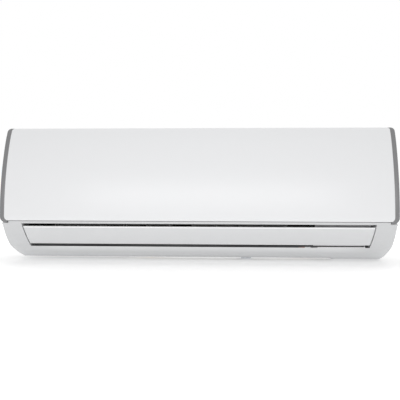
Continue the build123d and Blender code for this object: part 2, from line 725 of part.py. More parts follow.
def make_casing_screws():
    screws = []
    for side in (-1, 1):
        head = screw_hole(side, screw_pad_front - SCREW_HEAD, screw_pad_front, SCREW_HEAD_RADIUS)
        shank = screw_hole(side, screw_pad_front - 0.5, screw_boss_back + 0.5, SCREW_RADIUS)
        cross = block(side * SCREW_X - 1.6, side * SCREW_X + 1.6, screw_pad_front - 3, screw_pad_front - 1,
                      screw_z - 0.4, screw_z + 0.4)
        cross += block(side * SCREW_X - 0.4, side * SCREW_X + 0.4, screw_pad_front - 3, screw_pad_front - 1,
                       screw_z - 1.6, screw_z + 1.6)
        screws.append(head + shank - cross)
    return together(screws)


def make_outlet_frame():
    left = DUCT_LEFT + FLAT_GAP
    ceiling = side_polygon(
        ceiling_front,
        ceiling_mid,
        ceiling_nose,
        (ceiling_nose[0], ceiling_nose[1] + 3),
        (pan_back, pan_floor + 5),
        (pan_back, pan_rim),
        (pan_back - WALL, pan_rim),
        (pan_back - WALL, pan_floor),
        (pan_front + WALL, pan_floor - 1),
        (pan_front + WALL, pan_rim),
        (pan_front, pan_rim),
        (pan_front, pan_floor - 3.0),
        (ceiling_front[0], ceiling_front[1] + WALL),
    )
    frame = along_x(ceiling, left, PAN_RIGHT)
    behind_pan = (pan_back + 0.01, ceiling_nose[0] + 1)
    frame -= block(DUCT_RIGHT, PAN_RIGHT + 1, *behind_pan, pan_floor - 8, pan_rim + 9)
    plain_end = ((pan_back + 2, pan_floor), (pan_back + 2, pan_floor + WALL))
    plain = side_polygon(ceiling_front, ceiling_mid, *plain_end,
                         (ceiling_mid[0], ceiling_mid[1] + 3), (ceiling_front[0], ceiling_front[1] + WALL))
    frame += along_x(plain, PAN_RIGHT, BLANK_RIGHT)
    for x0, x1, rim in ((left, left + WALL, pan_end_rim), (PAN_RIGHT - WALL, PAN_RIGHT, pan_rim)):
        front_side = ((pan_front, pan_floor - 3), (pan_front, rim))
        pan_end = side_polygon(*front_side, (pan_back, rim), (pan_back, pan_floor))
        frame += along_x(pan_end, x0, x1)
    frame -= rod(PAN_RIGHT - WALL - 1, PAN_RIGHT + 1, plug_y, plug_z, PLUG_RADIUS)
    # blank wall beside the fan zone, and the duct's two side walls
    floor_y, floor_z = duct_floor_end()
    head_front, head_back = [inner_point(*place) for place in BLANK_SLOPE]
    knee = (blank_mid[0] + 2.3, blank_mid[1] + 0.5)
    foot = base_z + BLANK_FOOT
    blank = side_polygon(head_front, blank_mid, (floor_y, foot), (floor_y + 2, foot), knee, head_back)
    frame += along_x(blank, DUCT_RIGHT - 4, BLANK_RIGHT)
    back_edge = [inner_point(*place) for place in DUCT_SIDE_BACK]
    back_edge.append((ceiling_nose[0], ceiling_nose[1] - 1))
    side_low = (floor_y, floor_z + 1)
    side = side_polygon((head_back[0], head_back[1] - 0.7), knee, side_low, *back_edge,
                        (ceiling_mid[0], ceiling_mid[1] + 1))
    frame += along_x(side, DUCT_RIGHT - 4, DUCT_RIGHT - 2)
    left_side = side_polygon((ceiling_mid[0], ceiling_mid[1] - 1), blank_mid, side_low, *back_edge,
                             (ceiling_mid[0], ceiling_mid[1] + 1))
    frame += along_x(left_side, left, left + 2)
    # spout for the drain hose
    run = Vector(0, spout_end[0] - spout_start[0], spout_end[1] - spout_start[1])
    start = Plane(origin=(SPOUT_X, *spout_start), z_dir=run.normalized())
    spout = start * extrude(Circle(SPOUT_RADIUS), amount=run.length)
    hole = start * extrude(Circle(SPOUT_RADIUS - SPOUT_WALL), amount=2 * run.length, both=True)
    trough = block(DUCT_RIGHT, PAN_RIGHT, pan_front + WALL, pan_back - WALL, pan_floor, pan_floor + 50)
    frame += spout - trough
    frame -= hole & block(DUCT_RIGHT, PAN_RIGHT + 9, pan_back - WALL - 1, 0, pan_floor - 38, pan_floor + 22)
    frame += screw_boss(SCREW_X - SCREW_BOSS_INNER, BLANK_RIGHT)
    frame -= screw_hole(1, floor_y - 2, screw_boss_back + 1, SCREW_RADIUS)
    # holes for the vanes' pivots
    for x in vane_places():
        frame -= post(x, vane_pivot_y, ceiling_mid[1] - 4, ceiling_mid[1] + 18, VANE_PIVOT_RADIUS + RUN_GAP)
    return frame


# ---- vanes and their links -----------------------------------------------------------

def vane_places():
    return [VANE_FIRST_X + i * VANE_PITCH for i in range(VANE_COUNT)]


def make_vane(x):
    crank_y = vane_pivot_y - VANE_CRANK
    ledge = link_top - LINK_THICKNESS - 1.5
    head = link_top + 0.8
    outline = side_polygon(
        inner_point(*VANE_TIP),
        (crank_y - 7, head),
        (crank_y - 7, ledge),
        (crank_y + 7, ledge),
        (crank_y + 7, head + 3.0),
        *[inner_point(*place) for place in VANE_EDGE],
    )
    vane = along_x(outline, x - VANE_THICKNESS / 2, x + VANE_THICKNESS / 2)
    vane += post(x, vane_pivot_y, ceiling_mid[1] - 10, ceiling_mid[1] + 12, VANE_PIVOT_RADIUS)
    vane += post(x, crank_y, ledge - 5, link_top + 1.2, VANE_CRANK_RADIUS)
    return vane


def make_link(places):
    crank_y = vane_pivot_y - VANE_CRANK
    low = link_top - LINK_THICKNESS
    bar = block(places[0] - LINK_END, places[-1] + LINK_END, crank_y - LINK_HALF_WIDTH,
                crank_y + LINK_HALF_WIDTH, low, link_top)
    for x in places:
        bar -= post(x, crank_y, low - 1, link_top + 1, VANE_CRANK_RADIUS + RUN_GAP)
    return bar


# ---- louver --------------------------------------------------------------------------

def louver_half(z):
    return outlet_half(z) - LOUVER_END_GAP


def louver_rib_face():
    skin = LOUVER_INSET + LOUVER_THICKNESS - 0.4
    blade = [lip_point(a, skin) for a in (38.0, 42.0, 46.0, 50.0, 54.0)]
    return side_polygon(*blade, (pivot_y + 3.0, pivot_z - 2.5), (pivot_y + 2.5, pivot_z + 3.0))


def make_louver():
    outer = LIP_RADIUS - LOUVER_INSET
    inner = outer - LOUVER_THICKNESS
    top, foot = -LOUVER_TOP_ANGLE, -LOUVER_FOOT_ANGLE
    ends = [side_line(polar(lip_center, outer, a), polar(lip_center, inner, a)) for a in (top, foot)]
    skin = make_face([arc(lip_center, outer, top, foot), ends[1], arc(lip_center, inner, top, foot), ends[0]])
    louver = along_x(skin, -OUTLET_TOP_HALF, OUTLET_TOP_HALF)
    louver &= taper_prism(louver_half, pivot_z - 23, outlet_top_z + 7.4, -UNIT_DEPTH, -UNIT_DEPTH + 70)
    rib = louver_rib_face()
    rib_places = [(-LOUVER_RIB_HALF, -LOUVER_RIB_HALF + LOUVER_RIB)]
    rib_places.append((LOUVER_RIB_HALF - LOUVER_RIB, LOUVER_RIB_HALF))
    half = CENTER_SUPPORT_WIDTH / 2 + CENTER_RIB_GAP
    rib_places.append((CENTER_SUPPORT_X - half - LOUVER_RIB, CENTER_SUPPORT_X - half))
    rib_places.append((CENTER_SUPPORT_X + half, CENTER_SUPPORT_X + half + LOUVER_RIB))
    for x0, x1 in rib_places:
        louver += along_x(rib, x0, x1) + rod(x0, x1, pivot_y, pivot_z, 4.0)
    reach = half + 1
    louver += rod(CENTER_SUPPORT_X - reach, CENTER_SUPPORT_X + reach, pivot_y, pivot_z, PIVOT_PIN_RADIUS)
    louver += rod(-CHEEK_OUTER + 1, -LOUVER_RIB_HALF + 1, pivot_y, pivot_z, PIVOT_PIN_RADIUS)
    louver -= rod(LOUVER_RIB_HALF - 6, LOUVER_RIB_HALF + 1, pivot_y, pivot_z, PIVOT_PIN_RADIUS)
    return louver


def make_louver_bush():
    inner_face = -outlet_half(pivot_z)
    return tube(-CHEEK_OUTER, inner_face, pivot_y, pivot_z, PIVOT_BUSH_RADIUS, PIVOT_PIN_RADIUS + RUN_GAP)


def make_center_support():
    x0 = CENTER_SUPPORT_X - CENTER_SUPPORT_WIDTH / 2
    x1 = x0 + CENTER_SUPPORT_WIDTH
    arm = side_polygon(
        (pivot_y, pivot_z - 1.5),
        (pivot_y + 18.6, pivot_z + 4.0),
        (pivot_y + 17.5, duct_floor_end()[1] + 1.4),
        (pivot_y + 23.5, duct_floor_end()[1] + 2.4),
        (pivot_y + 22.0, pivot_z + 6.5),
        (pivot_y, pivot_z + 2.6),
    )
    support = along_x(arm, x0, x1) + rod(x0, x1, pivot_y, pivot_z, PIVOT_BUSH_RADIUS)
    return support - rod(x0 - 1, x1 + 1, pivot_y, pivot_z, PIVOT_PIN_RADIUS + RUN_GAP)


def make_louver_stepper():
    y, z = lip_point(PIVOT_ANGLE, PIVOT_INSET + STEPPER_OFFSET)
    body = rod(CHEEK_OUTER, CHEEK_OUTER + STEPPER_LENGTH, y, z, STEPPER_RADIUS)
    body += rod(outlet_half(pivot_z), CHEEK_OUTER + 2, pivot_y, pivot_z, PIVOT_BUSH_RADIUS)
    return body - rod(340, CHEEK_OUTER + 10, pivot_y, pivot_z, PIVOT_PIN_RADIUS + RUN_GAP)


def make_stepper_shaft():
    return rod(LOUVER_RIB_HALF - 6, CHEEK_OUTER + 9, pivot_y, pivot_z, PIVOT_PIN_RADIUS)


# ---- coil ----------------------------------------------------------------------------

def slab_plane(y, z, lean):
    """Plane along a slab's middle, starting at its foot."""
    turn = math.radians(lean)
    return Plane(origin=(0, y, z), x_dir=(1, 0, 0), z_dir=(0, -math.cos(turn), math.sin(turn)))


def slabs():
    """Each slab's plane, where it starts and ends along it, and its tubes' places."""
    lean = math.degrees(filter_lean)
    foot_y = filter_foot_y + slab_depth * math.cos(filter_lean)
    foot = (foot_y, filter_foot_z - slab_depth * math.sin(filter_lean))
    lower = (slab_plane(*foot, lean), *LOWER_SLAB)
    placed = [lower]
    for back, drop, turn, length in (UPPER_SLAB, REAR_SLAB):
        placed.append((slab_plane(-UNIT_DEPTH + back, top_z - drop, turn), 0.0, length))
    return placed


def tube_places(slab):
    plane, start, end = slab
    count = int((end - start) // TUBE_PITCH)
    first = (start + end) / 2 - (count - 1) * TUBE_PITCH / 2
    rows = (-ROW_PITCH / 2, ROW_PITCH / 2)
    return [[plane.from_local_coords((0, first + i * TUBE_PITCH, row)) for row in rows] for i in range(count)]


def make_slab(slab, left, right, wider=0.0):
    plane, start, end = slab
    half = COIL_THICKNESS / 2
    fins = leaning_block(plane, left, right, start - wider, end + wider, -half, half)
    for pair in tube_places(slab):
        for place in pair:
            fins -= rod(left - 1, right + 1, place.Y, place.Z, TUBE_RADIUS)
    return fins


def make_end_plate(x0, x1):
    plate = make_slab(slabs()[0], x0, x1, 1.0)
    for slab in slabs()[1:]:
        plate += make_slab(slab, x0, x1, 1.0)
    # straps that join the three flanges, clear of the tubes
    for strap in COIL_STRAPS:
        plate += along_x(side_polygon(*[(-UNIT_DEPTH + back, top_z - drop) for back, drop in strap]), x0, x1)
    for slab in slabs():
        for pair in tube_places(slab):
            for place in pair:
                plate -= rod(x0 - 1, x1 + 1, place.Y, place.Z, TUBE_RADIUS)
    return plate


def bend(first, second, x, bulge):
    """Half-turn of tube between two places, bulging along X."""
    start = Vector(x, first.Y, first.Z)
    end = Vector(x, second.Y, second.Z)
    reach = (end - start).length / 2
    middle = (start + end) * 0.5 + Vector(bulge * reach, 0, 0)
    path = ThreePointArc(start, middle, end)
    return sweep(Plane(origin=start, z_dir=(bulge, 0, 0)) * Circle(TUBE_RADIUS), path=path)


def make_hairpins():
    left = COIL_LEFT - END_PLATE
    right = COIL_RIGHT + END_PLATE
    pins = []
    for slab in slabs():
        for first, second in tube_places(slab):
            pin = bend(first, second, left, -1)
            for place in (first, second):
                pin += rod(left, right, place.Y, place.Z, TUBE_RADIUS)
            pins.append(pin)
    return together(pins)


def make_return_bends():
    right = COIL_RIGHT + END_PLATE
    places = [pair for slab in slabs() for pair in tube_places(slab)]
    return together([bend(lower[1], upper[0], right, 1) for lower, upper in zip(places, places[1:])])


# ---- pipes ---------------------------------------------------------------------------

def pipe(points, radii, radius):
    path = FilletPolyline(*points, radius=radii)
    start = Plane(origin=points[0], z_dir=Vector(*points[1]) - Vector(*points[0]))
    return sweep(start * Circle(radius), path=path)


def make_liquid_pipe():
    start = tube_places(slabs()[0])[0][0]
    x = COIL_RIGHT + END_PLATE
    y, z = liquid_line
    points = [(x, start.Y, start.Z), (x + 15, start.Y, start.Z), (x + 15, fan_y - 30, fan_z - 16),
              (x + 15, fan_y + 26, fan_z - 64), (x + 15, y, z), (LIQUID_END, y, z)]
    return pipe(points, [9, 14, 20, 11], LIQUID_RADIUS)


def make_suction_pipe():
    start = tube_places(slabs()[2])[-1][1]
    x = COIL_RIGHT + END_PLATE
    y, z = suction_line
    points = [(x, start.Y, start.Z), (x + 16, start.Y, start.Z), (x + 16, y, z), (SUCTION_END, y, z)]
    return pipe(points, [14, 20], SUCTION_RADIUS)


def make_union(x, line, pipe_radius, thread_radius):
    """Flare union soldered over a pipe's end: hexagon, then a threaded nose."""
    y, z = line
    hexagon = extrude(Plane(origin=(x, y, z), z_dir=(-1, 0, 0)) * RegularPolygon(thread_radius * 1.35, 6),
                      amount=UNION_HEX)
    nose = rod(x - UNION_HEX - UNION_THREAD, x - UNION_HEX, y, z, thread_radius)
    sleeve = tube(x, x + 8, y, z, pipe_radius + 1.6, pipe_radius)
    bore = rod(x - UNION_HEX - UNION_THREAD - 1, x + 1, y, z, pipe_radius - 0.8)
    return hexagon + nose + sleeve - bore


def make_insulation():
    foams = []
    for line, end, radius, outer in ((liquid_line, LIQUID_END, LIQUID_RADIUS, LIQUID_FOAM),
                                     (suction_line, SUCTION_END, SUCTION_RADIUS, SUCTION_FOAM)):
        foams.append(tube(end + FOAM_STAY, FOAM_RIGHT, *line, outer, radius))
    return together(foams)


def make_pipe_clamp():
    bar = block(90, 112, CHANNEL_FRONT, -3, base_z + 2.5, base_z + 4.5)
    leg = block(90, 112, -5, -3, base_z + 2.5, channel_top)
    toe = block(90, 112, CHANNEL_FRONT, CHANNEL_FRONT + 2, base_z + 2.5, channel_foot + 10)
    return bar + leg + toe


def make_drain_hose():
    y, z = hose_line
    direction = Vector(0, spout_end[0] - spout_start[0], spout_end[1] - spout_start[1]).normalized()
    start = Vector(SPOUT_X, *spout_start) + direction * 9
    knee = start + direction * 38
    points = [(SPOUT_X, start.Y, start.Z), (SPOUT_X, knee.Y, knee.Z), (SPOUT_X, y - 8, z + 34),
              (SPOUT_X, y, z), (HOSE_RIBS_RIGHT, y, z)]
    path = FilletPolyline(*points, radius=[20, 24, 20])
    plane = Plane(origin=points[0], z_dir=direction)
    bent = sweep(plane * Circle(HOSE_RADIUS), path=path)
    bent -= sweep(plane * Circle(HOSE_BORE), path=path)
    length = HOSE_RIBS_RIGHT - HOSE_END - HOSE_CUFF
    ribs = round(length / HOSE_RIB_PITCH)
    circles = []
    for i in range(ribs):
        x = HOSE_RIBS_RIGHT - i * HOSE_RIB_PITCH
        steps = ((0, HOSE_RADIUS), (0.25, HOSE_RIB_RADIUS), (0.5, HOSE_RIB_RADIUS), (0.75, HOSE_RADIUS))
        for share, radius in steps:
            circles.append(ring_at(x - share * HOSE_RIB_PITCH, radius))
    cuff_start = HOSE_RIBS_RIGHT - ribs * HOSE_RIB_PITCH
    circles.append(ring_at(cuff_start, HOSE_RADIUS))
    ribbed = loft(circles, ruled=True) + rod(HOSE_END, cuff_start, y, z, HOSE_CUFF_RADIUS)
    ribbed -= rod(HOSE_END - 1, HOSE_RIBS_RIGHT + 1, y, z, HOSE_BORE)
    return bent + ribbed


def ring_at(x, radius):
    y, z = hose_line
    return Plane(origin=(x, y, z), x_dir=(0, 1, 0), z_dir=(1, 0, 0)) * Circle(radius)


def make_drain_plug():
    plug = rod(PAN_RIGHT, PAN_RIGHT + 3, plug_y, plug_z, PLUG_RADIUS + 2)
    return plug + rod(PAN_RIGHT - WALL - 2, PAN_RIGHT, plug_y, plug_z, PLUG_RADIUS)


# ---- fan and motor -------------------------------------------------------------------

def fan_disc(x, width, radius, bore):
    disc = rod(x, x + width, fan_y, fan_z, radius)
    return disc - rod(x - 1, x + width + 1, fan_y, fan_z, bore) if bore else disc


def blade_face(turn):
    """One curved blade in the side view, leaning forward."""
    def at(radius, angle):
        return polar((fan_y, fan_z), radius, angle + turn)

    inner = (at(FAN_INNER_RADIUS, 0), at(FAN_RADIUS - 3.6, 3.0), at(FAN_RADIUS - 0.6, 8.5))
    thin = math.degrees(BLADE_THICKNESS / FAN_RADIUS)
    outer = (at(FAN_INNER_RADIUS, thin), at(FAN_RADIUS - 3.6, 3.0 + thin), at(FAN_RADIUS - 0.6, 8.5 + thin))
    curves = [ThreePointArc(*[(0, y, z) for y, z in side]) for side in (inner, outer)]
    return make_face([curves[0], side_line(inner[2], outer[2]), curves[1], side_line(outer[0], inner[0])])


def make_fan():
    span = FAN_RIGHT - FAN_LEFT
    step = (span - FAN_DISC_THICKNESS) / (FAN_DISCS - 1)
    blades = []
    for i in range(FAN_BLADES):
        blades += along_x(blade_face(i * 360 / FAN_BLADES), FAN_LEFT, FAN_RIGHT).solids()
    discs = []
    for i in range(FAN_DISCS):
        end = i in (0, FAN_DISCS - 1)
        bore = 0 if end else FAN_INNER_RADIUS - 3
        discs += fan_disc(FAN_LEFT + i * step, FAN_DISC_THICKNESS, FAN_RADIUS, bore).solids()
    discs += rod(FAN_RIGHT, FAN_RIGHT + HUB_LENGTH, fan_y, fan_z, HUB_RADIUS).solids()
    fan = Part() + discs[0].fuse(*discs[1:], *blades)
    fan -= rod(FAN_RIGHT - 6, FAN_RIGHT + HUB_LENGTH + 1, fan_y, fan_z, MOTOR_SHAFT_RADIUS)
    fan -= rod(FAN_LEFT - 1, FAN_LEFT + 1.5, fan_y, fan_z, STUB_RADIUS)
    return fan


def make_fan_shaft():
    return rod(DUCT_LEFT - WALL - 6, FAN_LEFT + 1.5, fan_y, fan_z, STUB_RADIUS)


def make_bearing_bush():
    return tube(DUCT_LEFT - WALL - 2, DUCT_LEFT + 2, fan_y, fan_z, BUSH_RADIUS, STUB_RADIUS + RUN_GAP)


def make_bearing_rubber():
    return tube(DUCT_LEFT - WALL - 1, DUCT_LEFT + 1, fan_y, fan_z, BEARING_RUBBER_RADIUS, BUSH_RADIUS)


def make_fan_motor():
    right = MOTOR_LEFT + MOTOR_LENGTH
    can = rod(MOTOR_LEFT + 3, right - 3, fan_y, fan_z, MOTOR_RADIUS)
    can += rod(MOTOR_LEFT, right, fan_y, fan_z, MOTOR_RADIUS - 5)
    can += rod(MOTOR_LEFT - 4, right + 4, fan_y, fan_z, 13)
    return can - rod(MOTOR_LEFT - 9, right + 9, fan_y, fan_z, MOTOR_SHAFT_RADIUS + RUN_GAP)


def make_motor_shaft():
    return rod(FAN_RIGHT - 6, MOTOR_LEFT + MOTOR_LENGTH + 2, fan_y, fan_z, MOTOR_SHAFT_RADIUS)


def make_motor_bracket():
    """Strap round the motor, with a foot on the chassis's back wall."""
    x0 = MOTOR_LEFT + 14
    x1 = MOTOR_LEFT + MOTOR_LENGTH - 14
    strap = tube(x0, x1, fan_y, fan_z, MOTOR_RADIUS + 3, MOTOR_RADIUS)
    foot = block(x0, x1, fan_y + MOTOR_RADIUS - 4, -CHASSIS_BACK, fan_z - 16, fan_z - 12)
    foot += block(x0, x1, fan_y + MOTOR_RADIUS - 4, -CHASSIS_BACK, fan_z + 12, fan_z + 16)
    foot -= rod(x0 - 1, x1 + 1, fan_y, fan_z, MOTOR_RADIUS)
    pad = block(x0 - 4, x1 + 4, -CHASSIS_BACK - 2.5, -CHASSIS_BACK, fan_z - 24, fan_z + 24)
    return strap + foot + pad


# ---- control box ---------------------------------------------------------------------

def make_control_box():
    box = block(BOX_LEFT, BOX_RIGHT, box_front, BOX_BACK, box_low, box_high)
    box -= block(BOX_LEFT + 2, BOX_RIGHT - 2, box_front - 1, BOX_BACK - 2, box_low + 2, box_high - 2)
    # guides that hold the board's upper and lower edges
    for z0, z1 in ((box_low + 2, box_low + 6), (box_high - 6, box_high - 2)):
        guide = block(BOARD_X - 2, BOARD_X + BOARD_THICKNESS + 2, box_front + 6, BOX_BACK - 2, z0, z1)
        box += guide
    box -= block(BOARD_X, BOARD_X + BOARD_THICKNESS, box_front, BOX_BACK - 3, box_low + 3.5, box_high - 3.5)
    # arm to the chassis's back wall
    for z in (box_low + 31, box_high - 65):
        box += block(BOX_LEFT + 18, BOX_RIGHT - 18, BOX_BACK, -CHASSIS_BACK, z, z + 4)
    return box


def make_control_box_cover():
    return block(BOX_LEFT - 1, BOX_RIGHT + 1, box_front - 1.5, box_front, box_low - 1, box_high + 1)


def make_main_pcb():
    back = BOARD_X + BOARD_THICKNESS
    return block(BOARD_X, back, box_front + 7, BOX_BACK - 3.5, box_low + 3.5, box_high - 3.5)


def make_pcb_components():
    face = BOARD_X + BOARD_THICKNESS
    def part(height, front, deep, low, tall):
        y = box_front + front
        z = box_low + low
        return block(face, face + height, y, y + deep, z, z + tall)

    def can(height, front, low, radius):
        return rod(face, face + height, box_front + front, box_low + low, radius)

    pieces = [part(*sizes) for sizes in BOARD_BLOCKS] + [can(*sizes) for sizes in BOARD_CANS]
    return together(pieces)


def make_terminal_block():
    front = box_front - 1.5
    low = box_low + TERMINAL_LOW
    body = block(BOX_LEFT + 6, BOX_RIGHT - 6, front - 14, front, low, low + TERMINAL_HEIGHT)
    for i in range(4):
        x = BOX_LEFT + 13 + i * 12
        body -= Pos(x, front - 14, low + TERMINAL_HEIGHT / 2) * Rot(90, 0, 0) * Cylinder(3.6, 12)
    return body


def make_display_board():
    """Small board on two posts behind the casing's front wall."""
    low = base_z + DISPLAY_LOW
    y = face_y(low + 12, CASING_FACE_INSET + WALL)
    board = block(330, 372, y + 6, y + 7.6, low, low + 22)
    board += block(345, 357, y + 2.5, y + 6, low + 6, low + 16)
    for x in (334, 368):
        reach = block(x - 2.5, x + 2.5, y - 12, y + 6, low + 8, low + 14)
        board += reach & along_x(face_band(CASING_FACE_INSET + WALL, 60, low + 4, low + 20), x - 3, x + 3)
    return board


def make_emergency_button():
    """Stalk with a round cap, in a hole of the casing's front wall."""
    y = face_y(button_z, CASING_FACE_INSET)
    axis = Rot(90, 0, 0)
    cap = Pos(BUTTON_X, y + 1.0, button_z) * axis * Cylinder(BUTTON_RADIUS, 6.8)
    collar = Pos(BUTTON_X, y + WALL + 1.8, button_z) * axis * Cylinder(BUTTON_RADIUS + 2, 1.6)
    return cap + collar


# ---- filters -------------------------------------------------------------------------

def make_filter_frame(left, right):
    half = FILTER_THICKNESS / 2
    x0 = left + FILTER_GAP
    x1 = right - FILTER_GAP
    frame = leaning_block(filter_plane, x0, x1, 0, FILTER_LENGTH, -half, half)
    wide = (x1 - x0 - 2 * FILTER_RIM - 3 * FILTER_BAR) / 4
    tall = (FILTER_LENGTH - 2 * FILTER_RIM - 2 * FILTER_BAR) / 3
    for i in range(4):
        for j in range(3):
            cell_x = x0 + FILTER_RIM + i * (wide + FILTER_BAR)
            cell_up = FILTER_RIM + j * (tall + FILTER_BAR)
            frame -= leaning_block(filter_plane, cell_x, cell_x + wide, cell_up, cell_up + tall, -9, 9)
    return frame


def make_filter_mesh(left, right, frame):
    half = MESH_THICKNESS / 2
    x0 = left + FILTER_GAP + FILTER_RIM - 1
    x1 = right - FILTER_GAP - FILTER_RIM + 1
    sheet = leaning_block(filter_plane, x0, x1, FILTER_RIM - 1, FILTER_LENGTH - FILTER_RIM + 1, -half, half)
    return together([sheet - frame])


# ---- front panel and trims -----------------------------------------------------------

def front_outline(half, low, high, foot_radius, head_radius):
    """Front view of a plate with rounded corners."""
    corners = FilletPolyline((-half, 0, low), (half, 0, low), (half, 0, high), (-half, 0, high),
                             radius=[foot_radius, foot_radius, head_radius, head_radius], close=True)
    return make_face(corners.edges())


def make_front_panel():
    low, high = foot_z - SPARE, top_z + SPARE
    band = along_x(face_band(0, PANEL_THICKNESS, low, high), -panel_half - SPARE, panel_half + SPARE)
    outline = front_outline(panel_half, foot_z, top_z, PANEL_FOOT_RADIUS, PANEL_HEAD_RADIUS)
    panel = band & extrude(outline, amount=UNIT_DEPTH + 1, dir=(0, -1, 0))
    # stiffening ribs on the back
    for z in (foot_z + 12, foot_z + 62):
        rib = face_band(PANEL_THICKNESS - 0.5, PANEL_THICKNESS + 4, z, z + 2)
        panel += along_x(rib, -panel_half + 16, panel_half - 16)
    # hinge lugs with their pins
    y, z = face_point_at_hinge()
    reach = HINGE_LUG / 2 + 0.5 + HINGE_EAR
    for side in (-1, 1):
        x = side * HINGE_LUG_X
        root = [face_point(z + rise, PANEL_THICKNESS - 0.5) for rise in (1.5, -9)]
        neck = side_polygon(*root, (y, z - 2.6), (y, z + 2.4))
        lug_ends = (x - HINGE_LUG / 2, x + HINGE_LUG / 2)
        panel += along_x(neck, *lug_ends) + rod(*lug_ends, y, z, HINGE_BOSS_RADIUS)
        panel += rod(x - reach, x + reach, y, z, HINGE_PIN_RADIUS)
    return panel


def make_trim(side):
    low = foot_z - TRIM_DROP
    shape = front_outline(half_width, low, top_z, TRIM_FOOT_RADIUS, TRIM_HEAD_RADIUS)
    panel = front_outline(panel_half, foot_z, top_z + 30, PANEL_FOOT_RADIUS, PANEL_HEAD_RADIUS)
    head = front_outline(panel_half, 0, top_z, PANEL_FOOT_RADIUS, PANEL_HEAD_RADIUS)
    deep = UNIT_DEPTH + 1
    ring = extrude(shape, amount=deep, dir=(0, -1, 0)) - extrude(panel, amount=deep, dir=(0, -1, 0))
    corner = extrude(front_outline(panel_half, top_z - 40, top_z + 30, 1, 1), amount=deep, dir=(0, -1, 0))
    upper = extrude(shape, amount=deep, dir=(0, -1, 0)) & corner
    ring += upper - extrude(head, amount=deep, dir=(0, -1, 0))
    inner = panel_half - TRIM_HOOK
    span = sorted((side * inner, side * (half_width + 1)))
    hinge_y = face_point_at_hinge()[0]
    band = along_x(face_band(0, TRIM_DEPTH, low - SPARE, top_z + SPARE), *span)
    band -= block(*span, hinge_y + 5, 0, top_z - 40, top_z + 2 * SPARE)
    return ring & band


def main():
    os.makedirs("parts", exist_ok=True)
    write("mounting_plate", make_mounting_plate())
    write("rear_chassis", make_rear_chassis())
    write("front_casing", make_front_casing())
    write("intake_grille", make_intake_grille())
    write("outlet_frame", make_outlet_frame())
    write("casing_screws", make_casing_screws())

    lower, upper, rear = slabs()
    write("coil_front_lower", make_slab(lower, COIL_LEFT, COIL_RIGHT))
    write("coil_front_upper", make_slab(upper, COIL_LEFT, COIL_RIGHT))
    write("coil_rear", make_slab(rear, COIL_LEFT, COIL_RIGHT))
    write("coil_end_plate_left", make_end_plate(COIL_LEFT - END_PLATE, COIL_LEFT))
    write("coil_end_plate_right", make_end_plate(COIL_RIGHT, COIL_RIGHT + END_PLATE))
    write("coil_hairpins", make_hairpins())
    write("coil_return_bends", make_return_bends())

    write("liquid_pipe", make_liquid_pipe())
    write("suction_pipe", make_suction_pipe())
    write("liquid_union", make_union(LIQUID_END, liquid_line, LIQUID_RADIUS, LIQUID_UNION_RADIUS))
    write("suction_union", make_union(SUCTION_END, suction_line, SUCTION_RADIUS, SUCTION_UNION_RADIUS))
    write("pipe_insulation", make_insulation())
    write("pipe_clamp", make_pipe_clamp())
    write("drain_hose", make_drain_hose())
    write("drain_plug", make_drain_plug())

    write("crossflow_fan", make_fan())
    write("fan_shaft", make_fan_shaft())
    write("bearing_bush", make_bearing_bush())
    write("bearing_rubber", make_bearing_rubber())
    write("fan_motor", make_fan_motor())
    write("motor_shaft", make_motor_shaft())
    write("motor_bracket", make_motor_bracket())

    write("louver", make_louver())
    write("louver_bush", make_louver_bush())
    write("louver_center_support", make_center_support())
    write("louver_stepper", make_louver_stepper())
    write("stepper_shaft", make_stepper_shaft())

    places = vane_places()
    for number, x in enumerate(places, start=1):
        write(f"vane_{number:02d}", make_vane(x))
    write("vane_link_left", make_link(places[:VANE_LEFT_COUNT]))
    write("vane_link_right", make_link(places[VANE_LEFT_COUNT:]))

    write("control_box", make_control_box())
    write("control_box_cover", make_control_box_cover())
    write("main_pcb", make_main_pcb())
    write("pcb_components", make_pcb_components())
    write("terminal_block", make_terminal_block())
    write("display_board", make_display_board())
    write("emergency_button", make_emergency_button())

    for side, edges in zip(("left", "right"), FILTER_EDGES):
        frame = make_filter_frame(*edges)
        write(f"filter_frame_{side}", frame)
        write(f"filter_mesh_{side}", make_filter_mesh(*edges, frame))

    write("front_panel", make_front_panel())
    write("panel_trim_left", make_trim(-1))
    write("panel_trim_right", make_trim(1))


main()
